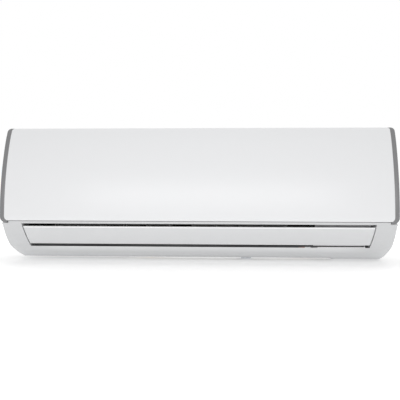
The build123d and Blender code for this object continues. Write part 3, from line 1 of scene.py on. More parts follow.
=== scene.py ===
import bpy
import json
import math
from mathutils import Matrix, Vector


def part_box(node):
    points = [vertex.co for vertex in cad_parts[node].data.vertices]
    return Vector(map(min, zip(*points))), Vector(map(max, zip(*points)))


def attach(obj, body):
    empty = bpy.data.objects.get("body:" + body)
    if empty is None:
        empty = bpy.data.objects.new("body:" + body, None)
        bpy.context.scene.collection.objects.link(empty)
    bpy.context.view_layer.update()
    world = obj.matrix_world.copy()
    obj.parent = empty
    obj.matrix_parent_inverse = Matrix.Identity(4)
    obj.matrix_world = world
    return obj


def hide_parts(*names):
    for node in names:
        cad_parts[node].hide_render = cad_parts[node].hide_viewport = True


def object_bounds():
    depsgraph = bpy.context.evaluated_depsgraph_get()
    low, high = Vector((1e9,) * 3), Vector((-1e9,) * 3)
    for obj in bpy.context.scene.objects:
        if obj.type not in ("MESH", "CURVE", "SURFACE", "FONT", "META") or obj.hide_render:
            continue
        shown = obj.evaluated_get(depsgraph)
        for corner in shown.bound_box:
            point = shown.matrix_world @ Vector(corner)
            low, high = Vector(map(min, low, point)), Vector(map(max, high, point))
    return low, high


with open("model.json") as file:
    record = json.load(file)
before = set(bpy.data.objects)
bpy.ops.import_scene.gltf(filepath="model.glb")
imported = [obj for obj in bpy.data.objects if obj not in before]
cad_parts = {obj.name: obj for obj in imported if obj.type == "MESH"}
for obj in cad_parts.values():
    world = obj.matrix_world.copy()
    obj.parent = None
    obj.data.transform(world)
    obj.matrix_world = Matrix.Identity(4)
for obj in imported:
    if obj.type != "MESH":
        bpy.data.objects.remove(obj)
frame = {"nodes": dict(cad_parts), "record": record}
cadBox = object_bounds()
record = frame["record"]
bodyOf = {node: body for body, members in record["behaviour"]["bodies"].items() for node in members}
slotOf = {part["node"]: part["material_slot"] for part in record["subparts"]}
print("frame loaded:", len(frame["nodes"]), "nodes")


def newMaterial(name):
    mat = bpy.data.materials.new(name)
    mat.use_nodes = True
    tree = mat.node_tree
    shader = tree.nodes["Principled BSDF"]
    coords = tree.nodes.new("ShaderNodeTexCoord")
    return mat, tree, shader, coords


def noiseOn(tree, coords, scale, detail=3.0, stretch=(1.0, 1.0, 1.0)):
    mapping = tree.nodes.new("ShaderNodeMapping")
    mapping.inputs["Scale"].default_value = stretch
    noise = tree.nodes.new("ShaderNodeTexNoise")
    noise.inputs["Scale"].default_value = scale
    noise.inputs["Detail"].default_value = detail
    tree.links.new(coords.outputs["Object"], mapping.inputs["Vector"])
    tree.links.new(mapping.outputs["Vector"], noise.inputs["Vector"])
    return noise


def rangeOn(tree, source, start, end, low=0.0, high=1.0):
    # maps start..end to low..high, held outside them
    node = tree.nodes.new("ShaderNodeMapRange")
    for key, value in (("From Min", start), ("From Max", end), ("To Min", low), ("To Max", high)):
        node.inputs[key].default_value = value
    tree.links.new(source, node.inputs["Value"])
    return node.outputs["Result"]


def mathOn(tree, operation, *sources):
    node = tree.nodes.new("ShaderNodeMath")
    node.operation = operation
    for i, source in enumerate(sources):
        tree.links.new(source, node.inputs[i])
    return node.outputs[0]


textureMiddle = (0.3, 0.7)      # most of a noise texture lies between these


def spread(tree, source, low, high):
    # maps a texture's middle part to low..high
    return rangeOn(tree, source, *textureMiddle, low, high)


def blendColours(tree, share, first, second):
    mix = tree.nodes.new("ShaderNodeMix")
    mix.data_type = "RGBA"
    mix.inputs["A"].default_value = (*first, 1)
    mix.inputs["B"].default_value = (*second, 1)
    tree.links.new(share, mix.inputs["Factor"])
    return mix.outputs["Result"]


def addBump(tree, shader, height, depth, strength=0.4):
    bump = tree.nodes.new("ShaderNodeBump")
    bump.inputs["Strength"].default_value = strength
    bump.inputs["Distance"].default_value = depth
    tree.links.new(height, bump.inputs["Height"])
    tree.links.new(bump.outputs["Normal"], shader.inputs["Normal"])


def shade(colour, factor):
    return tuple(min(1.0, c * factor) for c in colour)


def plasticLook(name, colour, rough=0.4, grain=900, clouds=14, depth=0.00004, mottle=0.03, coat=0.0,
                wander=0.04, coatRough=0.12):
    # moulded plastic: fine grain, slight mottle in tone and gloss
    mat, tree, shader, coords = newMaterial(name)
    fine = noiseOn(tree, coords, grain)
    broad = noiseOn(tree, coords, clouds, detail=2.0)
    tone = blendColours(tree, broad.outputs["Fac"], shade(colour, 1 - mottle), shade(colour, 1 + mottle))
    tree.links.new(tone, shader.inputs["Base Color"])
    gloss = spread(tree, broad.outputs["Fac"], rough - wander, rough + wander)
    tree.links.new(gloss, shader.inputs["Roughness"])
    addBump(tree, shader, fine.outputs["Fac"], depth)
    shader.inputs["Coat Weight"].default_value = coat
    shader.inputs["Coat Roughness"].default_value = coatRough
    return mat


def metalLook(name, colour, rough=0.35, grain=300, stretch=(1, 1, 1), depth=0.00002, spangle=0.0,
              tones=(0.82, 1.08), wander=(-0.08, 0.1)):
    # bare metal: brushed or drawn lines, or the spangle of zinc
    mat, tree, shader, coords = newMaterial(name)
    shader.inputs["Metallic"].default_value = 1.0
    lines = noiseOn(tree, coords, grain, detail=4.0, stretch=stretch)
    share = lines.outputs["Fac"]
    if spangle:
        cells = tree.nodes.new("ShaderNodeTexVoronoi")
        cells.inputs["Scale"].default_value = spangle
        tree.links.new(coords.outputs["Object"], cells.inputs["Vector"])
        grey = tree.nodes.new("ShaderNodeRGBToBW")
        tree.links.new(cells.outputs["Color"], grey.inputs["Color"])
        share = grey.outputs["Val"]
    tone = blendColours(tree, share, *(shade(colour, factor) for factor in tones))
    tree.links.new(tone, shader.inputs["Base Color"])
    gloss = spread(tree, share, *(rough + change for change in wander))
    tree.links.new(gloss, shader.inputs["Roughness"])
    addBump(tree, shader, lines.outputs["Fac"], depth)
    return mat


def paintLook(name, colour, rough=0.35, grain=260, depth=0.00005, tones=(0.95, 1.04), wander=0.08):
    # sprayed paint with a slight orange peel
    mat, tree, shader, coords = newMaterial(name)
    peel = noiseOn(tree, coords, grain, detail=2.0)
    tone = blendColours(tree, peel.outputs["Fac"], *(shade(colour, factor) for factor in tones))
    tree.links.new(tone, shader.inputs["Base Color"])
    gloss = spread(tree, peel.outputs["Fac"], rough, rough + wander)
    tree.links.new(gloss, shader.inputs["Roughness"])
    addBump(tree, shader, peel.outputs["Fac"], depth)
    return mat


def foamLook(name, colour, rough=0.85, grain=700, depth=0.0003, darkest=0.85):
    # closed-cell foam
    mat, tree, shader, coords = newMaterial(name)
    cells = tree.nodes.new("ShaderNodeTexVoronoi")
    cells.inputs["Scale"].default_value = grain
    tree.links.new(coords.outputs["Object"], cells.inputs["Vector"])
    tone = blendColours(tree, cells.outputs["Distance"], shade(colour, darkest), colour)
    tree.links.new(tone, shader.inputs["Base Color"])
    shader.inputs["Roughness"].default_value = rough
    addBump(tree, shader, cells.outputs["Distance"], depth)
    return mat


def boardLook(name, colour, rough=0.3, pitch=60, tones=(0.8, 1.8)):
    # lacquered circuit board with faint copper tracks under the lacquer
    mat, tree, shader, coords = newMaterial(name)
    tracks = tree.nodes.new("ShaderNodeTexBrick")
    tracks.inputs["Scale"].default_value = pitch
    tracks.inputs["Color1"].default_value = (*colour, 1)
    tracks.inputs["Color2"].default_value = (*shade(colour, tones[0]), 1)
    tracks.inputs["Mortar"].default_value = (*shade(colour, tones[1]), 1)
    turn = tree.nodes.new("ShaderNodeMapping")
    turn.inputs["Rotation"].default_value = (0, math.radians(90), math.radians(90))
    tree.links.new(coords.outputs["Object"], turn.inputs["Vector"])
    tree.links.new(turn.outputs["Vector"], tracks.inputs["Vector"])
    tree.links.new(tracks.outputs["Color"], shader.inputs["Base Color"])
    shader.inputs["Roughness"].default_value = rough
    return mat


looks = {
    "panel_white": plasticLook("panelGlossWhite", (0.805, 0.81, 0.82), rough=0.3, depth=0.00001,
                               mottle=0.001, coat=0.3, wander=0.004, coatRough=0.24),
    "casing_white": plasticLook("casingWhite", (0.61, 0.615, 0.622), rough=0.38, mottle=0.004, wander=0.015),
    "louver_white": plasticLook("louverWhite", (0.67, 0.675, 0.682), rough=0.34, mottle=0.003, coat=0.15,
                                wander=0.01),
    "trim_grey": plasticLook("trimSilverGrey", (0.2, 0.2, 0.205), rough=0.34, mottle=0.04, coat=0.2),
    "chassis_grey": plasticLook("chassisGrey", (0.5, 0.51, 0.52), rough=0.5),
    "duct_black": plasticLook("ductBlack", (0.012, 0.012, 0.013), rough=0.6),
    "vane_dark": plasticLook("vaneGrey", (0.52, 0.52, 0.525), rough=0.45),
    "fan_dark": plasticLook("fanBlack", (0.02, 0.02, 0.022), rough=0.4),
    "galvanised_steel": metalLook("galvanisedSteel", (0.6, 0.62, 0.64), rough=0.42, spangle=160),
    "motor_steel": paintLook("motorCan", (0.55, 0.56, 0.58)),
    "stepper_steel": metalLook("stepperCan", (0.62, 0.62, 0.64), rough=0.3, stretch=(20, 1, 1)),
    "shaft_steel": metalLook("shaftSteel", (0.66, 0.66, 0.68), rough=0.22, stretch=(1, 20, 20)),
    "dark_screw": paintLook("screwBlack", (0.01, 0.01, 0.01)),
    "fin_aluminium": metalLook("finAluminium", (0.78, 0.8, 0.82), rough=0.4, stretch=(1, 6, 1)),
    "copper_tube": metalLook("copperTube", (0.72, 0.36, 0.22), rough=0.3, stretch=(2, 12, 12)),
    "union_brass": metalLook("unionBrass", (0.7, 0.52, 0.22), rough=0.28, stretch=(14, 2, 2)),
    "pipe_foam": foamLook("pipeFoam", (0.6, 0.6, 0.59)),
    "hose_white": plasticLook("hoseWhite", (0.66, 0.66, 0.64), rough=0.45),
    "rubber_black": plasticLook("rubberBlack", (0.02, 0.02, 0.02), rough=0.7),
    "bush_ivory": plasticLook("bushIvory", (0.7, 0.66, 0.54), rough=0.4),
    "support_white": plasticLook("supportGrey", (0.3, 0.3, 0.31), rough=0.45),
    "box_ivory": plasticLook("boxIvory", (0.6, 0.58, 0.52), rough=0.5),
    "cover_steel": paintLook("coverSteel", (0.5, 0.51, 0.53)),
    "board_green": boardLook("boardGreen", (0.03, 0.16, 0.08)),
    "component_dark": plasticLook("componentDark", (0.03, 0.03, 0.035), rough=0.45),
    "button_grey": plasticLook("buttonGrey", (0.5, 0.5, 0.51), rough=0.4),
    "filter_blue": plasticLook("filterBlue", (0.16, 0.3, 0.42), rough=0.45),
    "mesh_grey": plasticLook("meshGrey", (0.1, 0.11, 0.12), rough=0.6),
}
# further looks, each painted on some faces of a piece; the rim and lip looks are painted highlights and
# painted light, the lip edge look is painted shade, the duct floor look is partly painted shade
paints = {
    "blank": plasticLook("blankGrey", (0.8, 0.8, 0.81), rough=0.55),
    # dark grey: painted shade on the screw pads, and on the duct's floor partly its own tone, partly painted
    # shade
    "ductFloor": plasticLook("ductFloorDarkAndPaintedShade", (0.1, 0.1, 0.105), rough=0.5),
    # painted light: a highlight on the louver's rim, and lightening of the shaded ledge under the panel
    "rim": plasticLook("rimAndLedgePaintedLight", (0.9, 0.905, 0.91), rough=0.3),
    # painted shade: a dark grey for the casing's faces in the shadow behind the lower lip
    "lipEdge": plasticLook("lipEdgePaintedShade", (0.13, 0.13, 0.135), rough=0.5),
}


# the painted highlight on the lower lip: its heights, its ends and its colour
lipHighlightForm = {"foot": -0.1205, "top": -0.108, "side": 0.36, "middle": 0.29, "tone": (0.75, 0.755, 0.76, 1)}


def paintedLipHighlightLook():
    # the casing's look with a painted highlight, lighter towards the lower lip's upper edge and away from
    # its ends
    mat = looks["casing_white"].copy()
    mat.name = "lipPaintedHighlight"
    tree = mat.node_tree
    shader = tree.nodes["Principled BSDF"]
    coords = tree.nodes.new("ShaderNodeTexCoord")
    place = tree.nodes.new("ShaderNodeSeparateXYZ")
    tree.links.new(coords.outputs["Object"], place.inputs[0])
    rise = rangeOn(tree, place.outputs["Z"], lipHighlightForm["foot"], lipHighlightForm["top"])
    sideways = mathOn(tree, "ABSOLUTE", place.outputs["X"])
    inward = rangeOn(tree, sideways, lipHighlightForm["side"], lipHighlightForm["middle"])
    mix = tree.nodes.new("ShaderNodeMix")
    mix.data_type = "RGBA"
    mix.inputs["B"].default_value = lipHighlightForm["tone"]
    tree.links.new(shader.inputs["Base Color"].links[0].from_socket, mix.inputs["A"])
    tree.links.new(mathOn(tree, "MULTIPLY", rise, inward), mix.inputs["Factor"])
    tree.links.new(mix.outputs["Result"], shader.inputs["Base Color"])
    return mat


# the lip look carries a painted highlight
paints["lip"] = paintedLipHighlightLook()
print("materials made:", len(looks) + len(paints))


def pick(*pieces):
    # selects these pieces and no others, the last one active
    bpy.ops.object.select_all(action="DESELECT")
    for piece in pieces:
        piece.select_set(True)
    bpy.context.view_layer.objects.active = pieces[-1]


def applyModifier(piece, kind, **settings):
    modifier = piece.modifiers.new(kind.lower(), kind)
    for key, value in settings.items():
        setattr(modifier, key, value)
    bpy.context.view_layer.objects.active = piece
    bpy.ops.object.modifier_apply(modifier=modifier.name)


mergeForm = {"distance": 0.000002, "flatAngle": math.radians(0.2)}


def startFrom(node, name):
    # a merged copy of a CAD node, free of its frame tags
    piece = bpy.data.objects.new(name, frame["nodes"][node].data.copy())
    bpy.context.scene.collection.objects.link(piece)
    pick(piece)
    bpy.ops.object.mode_set(mode="EDIT")
    bpy.ops.mesh.select_all(action="SELECT")
    bpy.ops.mesh.remove_doubles(threshold=mergeForm["distance"])
    bpy.ops.mesh.dissolve_limited(angle_limit=mergeForm["flatAngle"])
    bpy.ops.object.mode_set(mode="OBJECT")
    return piece


def softenEdges(piece, width, angle=35, steps=2):
    applyModifier(piece, "BEVEL", width=width, segments=steps, limit_method="ANGLE",
                  angle_limit=math.radians(angle), use_clamp_overlap=True)


def smoothFaces(piece, angle=32):
    pick(piece)
    bpy.ops.object.shade_smooth_by_angle(angle=math.radians(angle))


def finishPiece(piece, *replaced):
    # gives the piece the look, the body and the slot of the node that it stands for
    node = replaced[0]
    piece.data.materials.clear()
    piece.data.materials.append(looks[slotOf[node]])
    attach(piece, bodyOf[node])
    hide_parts(*replaced)


softPieces = {      # node: (piece, edge radius in metres)
    "panel_trim_left": ("panelTrimLeft", 0.0008),
    "panel_trim_right": ("panelTrimRight", 0.0008),
    "front_casing": ("frontCasing", 0.0005),
    "louver": ("louverBlade", 0.0009),
    "outlet_frame": ("outletFrame", 0.0),
    "rear_chassis": ("rearChassis", 0.0),
    "mounting_plate": ("wallPlate", 0.0),
    "crossflow_fan": ("crossflowFan", 0.0),
    "fan_motor": ("fanMotor", 0.0015),
    "drain_hose": ("drainHose", 0.0),
    "pipe_insulation": ("pipeFoam", 0.001),
    "liquid_pipe": ("liquidPipe", 0.0),
    "suction_pipe": ("suctionPipe", 0.0),
    "coil_return_bends": ("returnBends", 0.0),
    "coil_hairpins": ("hairpins", 0.0),
    "liquid_union": ("liquidUnion", 0.0004),
    "suction_union": ("suctionUnion", 0.0004),
    "louver_stepper": ("louverStepper", 0.0006),
    "casing_screws": ("casingScrews", 0.0003),
    "emergency_button": ("emergencyButton", 0.0004),
}
for node, (pieceName, edge) in softPieces.items():
    piece = startFrom(node, pieceName)
    if edge:
        softenEdges(piece, edge)
    smoothFaces(piece)
    finishPiece(piece, node)
print("soft pieces made:", len(softPieces))


def selectWhere(piece, test):
    # selects the points that the test picks, and leaves the piece in edit mode
    pick(piece)
    bpy.ops.object.mode_set(mode="EDIT")
    bpy.ops.mesh.select_mode(type="VERT")
    bpy.ops.mesh.select_all(action="DESELECT")
    bpy.ops.object.mode_set(mode="OBJECT")
    for point in piece.data.vertices:
        point.select = test(point.co)
    bpy.ops.object.mode_set(mode="EDIT")


def joinTo(piece, others):
    # makes the others part of the piece
    pick(*others, piece)
    bpy.ops.object.join()


def settle(piece):
    # bakes the piece's place into its mesh
    pick(piece)
    bpy.ops.object.transform_apply(location=True, rotation=True, scale=True)


def addBlock(low, high, edge=0.0004):
    # a block between two corners, its edges rounded
    middle = [(a + b) / 2 for a, b in zip(low, high)]
    bpy.ops.mesh.primitive_cube_add(size=1, location=middle, scale=[b - a for a, b in zip(low, high)])
    piece = bpy.context.object
    settle(piece)
    softenEdges(piece, edge)
    return piece


def addRod(x0, x1, place, radius, edge=0.0003):
    # a rod along X, its rims rounded
    bpy.ops.mesh.primitive_cylinder_add(vertices=32, radius=radius, depth=x1 - x0,
                                        location=((x0 + x1) / 2, *place), rotation=(0, math.radians(90), 0))
    piece = bpy.context.object
    settle(piece)
    softenEdges(piece, edge)
    return piece


# the front panel: one edge drawn out upwards along two arcs, then thickened
panelForm = {
    "thickness": 0.003, "footRound": 0.0085, "headRound": 0.005, "edge": 0.0006,
    "faceRadius": 0.413, "shoulderRadius": 0.176, "turn": math.radians(22.6),
    "rows": 52, "cornerRows": 7,
    "ribRise": (0.012, 0.062), "ribTall": 0.002, "ribDeep": 0.004, "ribInset": 0.016,
    "lugX": 0.366, "lugWide": 0.005, "pinReach": 0.007, "hingeDrop": 0.0041, "hingeInset": 0.008,
    "bossRadius": 0.003, "pinRadius": 0.0018, "ribSink": 0.0005, "hingeBack": 0.0096,
    "neckDeep": 0.0055, "neckDown": 0.0026, "neckUp": 0.0012, "rimAngle": 50,
}
panelLow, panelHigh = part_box("front_panel")
panelHalf = panelHigh[0]
faceCentre = (panelLow[1] + panelForm["faceRadius"], panelLow[2])
centreStep = panelForm["faceRadius"] - panelForm["shoulderRadius"]
shoulderCentre = (faceCentre[0] - centreStep * math.cos(panelForm["turn"]),
                  faceCentre[1] + centreStep * math.sin(panelForm["turn"]))


def faceAt(z):
    # the Y of the panel's face at a height
    angle = math.asin((z - faceCentre[1]) / panelForm["faceRadius"])
    if angle <= panelForm["turn"]:
        return faceCentre[0] - panelForm["faceRadius"] * math.cos(angle)
    angle = math.asin((z - shoulderCentre[1]) / panelForm["shoulderRadius"])
    return shoulderCentre[0] - panelForm["shoulderRadius"] * math.cos(angle)


def cornerRows(start, radius, direction):
    # heights and half widths round a corner, from its end on the panel's rim inwards
    rows = []
    for i in range(panelForm["cornerRows"] + 1):
        angle = math.radians(90) * i / panelForm["cornerRows"]
        height = start + direction * radius * (1 - math.cos(angle))
        rows.append((height, panelHalf - radius * (1 - math.sin(angle))))
    return rows


def panelRows():
    # the panel's outline as heights and half widths, from its foot to its head
    foot, head = panelLow[2], panelHigh[2]
    rows = cornerRows(foot, panelForm["footRound"], 1)
    low, high = foot + panelForm["footRound"], head - panelForm["headRound"]
    for i in range(1, panelForm["rows"]):
        rows.append((low + (high - low) * i / panelForm["rows"], panelHalf))
    return rows + cornerRows(head, panelForm["headRound"], -1)[::-1]


def drawPanelSkin():
    rows = panelRows()
    z, half = rows[0]
    bpy.ops.mesh.primitive_plane_add(size=2, location=(0, 0, 0))
    skin = bpy.context.object
    skin.name = "frontPanel"
    selectWhere(skin, lambda at: at.y > 0)
    bpy.ops.mesh.delete(type="VERT")
    bpy.ops.mesh.select_all(action="SELECT")
    bpy.ops.transform.resize(value=(half, 1, 1), center_override=(0, 0, 0))
    bpy.ops.transform.translate(value=(0, 1 + faceAt(z), z))
    for nextZ, nextHalf in rows[1:]:
        bpy.ops.mesh.extrude_region_move(
            TRANSFORM_OT_translate={"value": (0, faceAt(nextZ) - faceAt(z), nextZ - z)})
        bpy.ops.transform.resize(value=(nextHalf / half, 1, 1), center_override=(0, 0, 0))
        z, half = nextZ, nextHalf
    bpy.ops.object.mode_set(mode="OBJECT")
    if skin.data.polygons[len(rows) // 2].normal.y > 0:     # the face has to look forward
        bpy.ops.object.mode_set(mode="EDIT")
        bpy.ops.mesh.select_all(action="SELECT")
        bpy.ops.mesh.flip_normals()
        bpy.ops.object.mode_set(mode="OBJECT")
    applyModifier(skin, "SOLIDIFY", thickness=panelForm["thickness"], offset=-1)
    softenEdges(skin, panelForm["edge"], angle=panelForm["rimAngle"], steps=3)
    return skin


def drawPanelBack():
    # stiffening ribs, and the hinge lugs with their pins
    parts = []
    back = panelForm["thickness"] - panelForm["ribSink"]
    for rise in panelForm["ribRise"]:
        z = panelLow[2] + rise
        y = faceAt(z + panelForm["ribTall"] / 2)
        reach = panelHalf - panelForm["ribInset"]
        ribEnd = (reach, y + panelForm["thickness"] + panelForm["ribDeep"], z + panelForm["ribTall"])
        parts.append(addBlock((-reach, y + back, z), ribEnd))
    hingeZ = panelHigh[2] - panelForm["hingeDrop"]
    hingeY = faceAt(hingeZ) + panelForm["hingeBack"]
    hingeRadius = panelForm["shoulderRadius"] - panelForm["hingeInset"]
    lean = math.asin((hingeZ - shoulderCentre[1]) / hingeRadius)
    for side in (-1, 1):
        x = side * panelForm["lugX"]
        ends = (x - panelForm["lugWide"] / 2, x + panelForm["lugWide"] / 2)
        neck = addBlock((ends[0], hingeY - panelForm["neckDeep"], hingeZ - panelForm["neckDown"]),
                        (ends[1], hingeY, hingeZ + panelForm["neckUp"]))
        selectWhere(neck, lambda at: True)
        bpy.ops.transform.rotate(value=lean, orient_axis="X", center_override=(x, hingeY, hingeZ))
        bpy.ops.object.mode_set(mode="OBJECT")
        parts.append(neck)
        parts.append(addRod(*ends, (hingeY, hingeZ), panelForm["bossRadius"]))
        parts.append(addRod(x - panelForm["pinReach"], x + panelForm["pinReach"], (hingeY, hingeZ),
                            panelForm["pinRadius"]))
    return parts


frontPanel = drawPanelSkin()
joinTo(frontPanel, drawPanelBack())
smoothFaces(frontPanel)
finishPiece(frontPanel, "front_panel")
print("front panel made:", len(frontPanel.data.polygons), "faces")


# coil: thin fins in place of each solid slab
finForm = {"left": -0.350, "right": 0.222, "pitch": 0.0018, "thick": 0.00016, "deep": 0.022,
           "waves": 6, "waveHigh": 0.0011, "smooth": 20}
slabForms = {       # node: (piece, y and z of the foot, lean back, start and end up the slab)
    "coil_front_lower": ("finsFrontLower", (-0.159713, -0.050413), math.radians(16.116), 0.008, 0.097),
    "coil_front_upper": ("finsFrontUpper", (-0.1295, 0.050), math.radians(34.0), 0.0, 0.079),
    "coil_rear": ("finsRear", (-0.062, 0.116), math.radians(148.8), 0.0, 0.062),
}


def drawFins(name, foot, lean, start, end):
    # one corrugated fin, repeated along the coil
    bpy.ops.mesh.primitive_grid_add(x_subdivisions=1, y_subdivisions=finForm["waves"], size=1,
                                    rotation=(0, math.radians(90), 0))
    fins = bpy.context.object
    fins.name = name
    settle(fins)
    step = 1 / finForm["waves"]
    selectWhere(fins, lambda at: round((at.y + 0.5) / step) % 2 == 1)       # every second fold
    bpy.ops.transform.translate(value=(finForm["waveHigh"], 0, 0))
    bpy.ops.object.mode_set(mode="OBJECT")
    applyModifier(fins, "SOLIDIFY", thickness=finForm["thick"], offset=0)
    fins.scale = (1, finForm["deep"], end - start)
    fins.location = (0, 0, (start + end) / 2)
    settle(fins)
    fins.rotation_euler = (-lean, 0, 0)
    fins.location = (finForm["left"] + finForm["thick"], *foot)
    settle(fins)
    count = int((finForm["right"] - finForm["left"]) / finForm["pitch"])
    applyModifier(fins, "ARRAY", count=count, use_relative_offset=False, use_constant_offset=True,
                  constant_offset_displace=(finForm["pitch"], 0, 0))
    return fins


for node, form in slabForms.items():
    fins = drawFins(*form)
    smoothFaces(fins, finForm["smooth"])
    finishPiece(fins, node)
print("fins made:", len(slabForms), "packs")


# filter nets: woven threads in place of each plain sheet
netForm = {"cell": 0.0042, "thread": 0.0005}


def drawNet(name, node):
    # a leaning grid of threads over all panes of a filter
    low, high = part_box(node)
    wide = high[0] - low[0]
    lean = math.atan2(high[1] - low[1], high[2] - low[2])
    tall = math.hypot(high[1] - low[1], high[2] - low[2])
    bpy.ops.mesh.primitive_grid_add(x_subdivisions=round(wide / netForm["cell"]),
                                    y_subdivisions=round(tall / netForm["cell"]), size=1)
    net = bpy.context.object
    net.name = name
    net.scale = (wide - netForm["thread"], tall - 2 * netForm["thread"], 1)
    net.rotation_euler = (math.radians(90) - lean, 0, 0)
    net.location = [(a + b) / 2 for a, b in zip(low, high)]
    settle(net)
    applyModifier(net, "WIREFRAME", thickness=netForm["thread"], use_even_offset=False)
    return net


for side in ("left", "right"):
    net = drawNet("filterNet" + side.capitalize(), "filter_mesh_" + side)
    finishPiece(net, "filter_mesh_" + side)
print("filter nets made")


def paintWhere(piece, look, test):
    # a further material on the faces that the test picks
    piece.data.materials.append(look)
    for face in piece.data.polygons:
        if test(face.center, face.normal):
            face.material_index = len(piece.data.materials) - 1


def cutAcross(piece, place, along):
    # an edge round the piece, so that its faces can be painted apart
    selectWhere(piece, lambda at: True)
    bpy.ops.mesh.bisect(plane_co=place, plane_no=along)
    bpy.ops.object.mode_set(mode="OBJECT")


# where the further looks go, in metres; a pair holds a low and a high bound
zones = {
    "blankStart": 0.238, "outletHalf": 0.372, "outletRise": (-0.126, -0.095), "blankTop": -0.056,
    "rimLow": -0.0660, "rimEnd": 0.32, "lipTop": -0.1045, "lipBack": -0.09,
    "ledgeRise": (-0.0535, -0.0515), "ductBack": -0.02, "ductLow": -0.106,
    "padX": (0.34, 0.354), "padY": (-0.148, -0.1405), "padZ": (-0.112, -0.094),
}
# how far a face's normal has to turn a given way
turns = {"slightly": 0.2, "clearly": 0.3, "nearly": 0.7}


def within(value, bounds):
    return bounds[0] < value < bounds[1]


def atOutletFoot(at, normal):
    # upward faces behind the lower lip
    across = abs(at.x) < zones["outletHalf"]
    return within(at.z, zones["outletRise"]) and across and normal.z > turns["slightly"]


def onLipEdgePaintedShade(at, normal):
    # painted shade: the casing's faces behind the lower lip, left of the blank, made dark
    return atOutletFoot(at, normal) and at.x < zones["blankStart"]


def onBlankFloor(at, normal):
    return atOutletFoot(at, normal) and at.x > zones["blankStart"]


def onBlankWall(at, normal):
    return at.x > zones["blankStart"] and at.z < zones["blankTop"]


def onRimPaintedHighlight(at, normal):
    # the louver's rim, along its top and down its right end, where a highlight is painted
    atEnd = at.x > zones["rimEnd"] and normal.x > turns["clearly"]
    return normal.y < -turns["clearly"] and (at.z > zones["rimLow"] or atEnd)


def onLip(at, normal):
    # the lower lip and the front of the underside, where the painted highlight goes
    return at.z < zones["lipTop"] and at.y < zones["lipBack"] and normal.z < -turns["slightly"]


def onLedgePaintedLight(at, normal):
    # the casing's ledge under the panel's foot, painted light where the panel's shade falls
    return within(at.z, zones["ledgeRise"]) and normal.z > turns["nearly"]


def onScrewPadPaintedShade(at, normal):
    # the casing's pads for the two screws, low in front, painted dark as shade
    return within(abs(at.x), zones["padX"]) and within(at.y, zones["padY"]) and within(at.z, zones["padZ"])


def inDuct(at, normal):
    # the chassis's front part, with the duct's floor, made dark: partly its own dark plastic, partly painted
    # shade
    return at.y < zones["ductBack"] and at.z > zones["ductLow"]


casing = bpy.data.objects["frontCasing"]
outletFrame = bpy.data.objects["outletFrame"]
blade = bpy.data.objects["louverBlade"]
chassis = bpy.data.objects["rearChassis"]
for piece in (casing, outletFrame):
    cutAcross(piece, (zones["blankStart"], 0, 0), (1, 0, 0))
# a cut along the louver's top, so that the painted highlight ends there
cutAcross(blade, (0, 0, zones["rimLow"]), (0, 0, 1))
paintJobs = (       # where two tests pick the same face of a piece, the later one counts
    (casing, "lipEdge", onLipEdgePaintedShade), (casing, "blank", onBlankFloor), (outletFrame, "blank", onBlankWall),
    (blade, "rim", onRimPaintedHighlight), (casing, "lip", onLip), (casing, "rim", onLedgePaintedLight),
    (casing, "ductFloor", onScrewPadPaintedShade), (chassis, "ductFloor", inDuct),
)
for piece, paint, test in paintJobs:
    paintWhere(piece, paints[paint], test)

for node, item in frame["nodes"].items():
    if node not in softPieces and node not in slabForms and node != "front_panel":
        item.data.materials.clear()
        item.data.materials.append(looks[slotOf[node]])
print("looks given to all pieces")


def whiteToCamera(tree, dim, bright):
    # the surroundings look white to the camera and in reflections, whatever light they give
    path = tree.nodes.new("ShaderNodeLightPath")
    mirrored = mathOn(tree, "MAXIMUM", path.outputs["Is Glossy Ray"], path.outputs["Is Transmission Ray"])
    seen = mathOn(tree, "MAXIMUM", path.outputs["Is Camera Ray"], mirrored)
    return rangeOn(tree, seen, 0.0, 1.0, dim, bright)


surroundings = {
    "ambient": 0.68, "floorDrop": 0.0002, "floorSize": 12.0, "floorTone": (0.8, 0.8, 0.8, 1),
    "floorRough": 0.9, "floorBounce": 0.4, "floorGlow": 0.31, "farGlow": 0.6,
    "glowStart": 0.4, "glowEnd": 0.7,
}

world = bpy.data.worlds.new("studio")
bpy.context.scene.world = world
world.use_nodes = True
background = world.node_tree.nodes["Background"]
background.inputs["Color"].default_value = (1, 1, 1, 1)
worldStrength = whiteToCamera(world.node_tree, surroundings["ambient"], 1.0)
world.node_tree.links.new(worldStrength, background.inputs["Strength"])

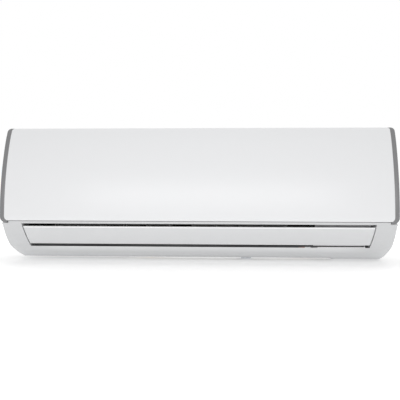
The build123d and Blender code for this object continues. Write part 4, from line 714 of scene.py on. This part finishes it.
bpy.ops.mesh.primitive_plane_add(size=surroundings["floorSize"],
                                 location=(0, 0, cadBox[0][2] - surroundings["floorDrop"]))
floor = bpy.context.object
floor.name = "studioFloor"
floorMat, floorTree, floorShader, floorCoords = newMaterial("floorWhite")
floorShader.inputs["Base Color"].default_value = surroundings["floorTone"]
floorShader.inputs["Roughness"].default_value = surroundings["floorRough"]
floorShader.inputs["Emission Color"].default_value = (1, 1, 1, 1)
glow = whiteToCamera(floorTree, surroundings["floorBounce"], surroundings["floorGlow"])
floorTree.links.new(glow, floorShader.inputs["Emission Strength"])
# the floor clears to white away from the unit's shadow
away = floorTree.nodes.new("ShaderNodeVectorMath")
away.operation = "LENGTH"
floorTree.links.new(floorCoords.outputs["Object"], away.inputs[0])
clearing = rangeOn(floorTree, away.outputs["Value"], surroundings["glowStart"], surroundings["glowEnd"],
                   surroundings["floorGlow"], surroundings["farGlow"])
floorTree.links.new(clearing, glow.node.inputs["To Max"])
floor.data.materials.append(floorMat)

lamps = {       # name: (place, aim, size, power)
    "overheadSoftbox": ((0, 0.3, 1.5), (0, -0.15, 0), (2.6, 1.6), 6),
    "frontSoftbox": ((0.0, -1.15, 0.26), (0, -0.2, 0.02), (1.25, 0.28), 2.0),
}


def areaLamp(name, place, aim, size, power):
    data = bpy.data.lights.new(name, "AREA")
    data.shape = "RECTANGLE"
    data.size, data.size_y = size
    data.energy = power
    lamp = bpy.data.objects.new(name, data)
    bpy.context.scene.collection.objects.link(lamp)
    lamp.location = place
    lamp.rotation_euler = (Vector(aim) - Vector(place)).to_track_quat("-Z", "Y").to_euler()
    return lamp


areaLamp("overheadSoftbox", *lamps["overheadSoftbox"])
frontSoftbox = areaLamp("frontSoftbox", *lamps["frontSoftbox"])
frontSoftbox.visible_camera = False

# seen from slightly right of the middle, with a slight roll, as in the photograph
view = {"turn": math.radians(3.2), "distance": 1.5, "eyeZ": -0.010, "aimX": -0.004,
        "pitch": math.radians(0.045), "roll": math.radians(-0.17), "lens": 58.65}
cameraData = bpy.data.cameras.new("productView")
cameraData.lens = view["lens"]
camera = bpy.data.objects.new("productView", cameraData)
bpy.context.scene.collection.objects.link(camera)
camera.location = (view["aimX"] + view["distance"] * math.sin(view["turn"]),
                   -view["distance"] * math.cos(view["turn"]), view["eyeZ"])
camera.rotation_euler = (math.radians(90) + view["pitch"], view["roll"], view["turn"])
bpy.context.scene.camera = camera
bpy.context.scene.view_settings.view_transform = "Standard"
print("floor, lamps and camera set")
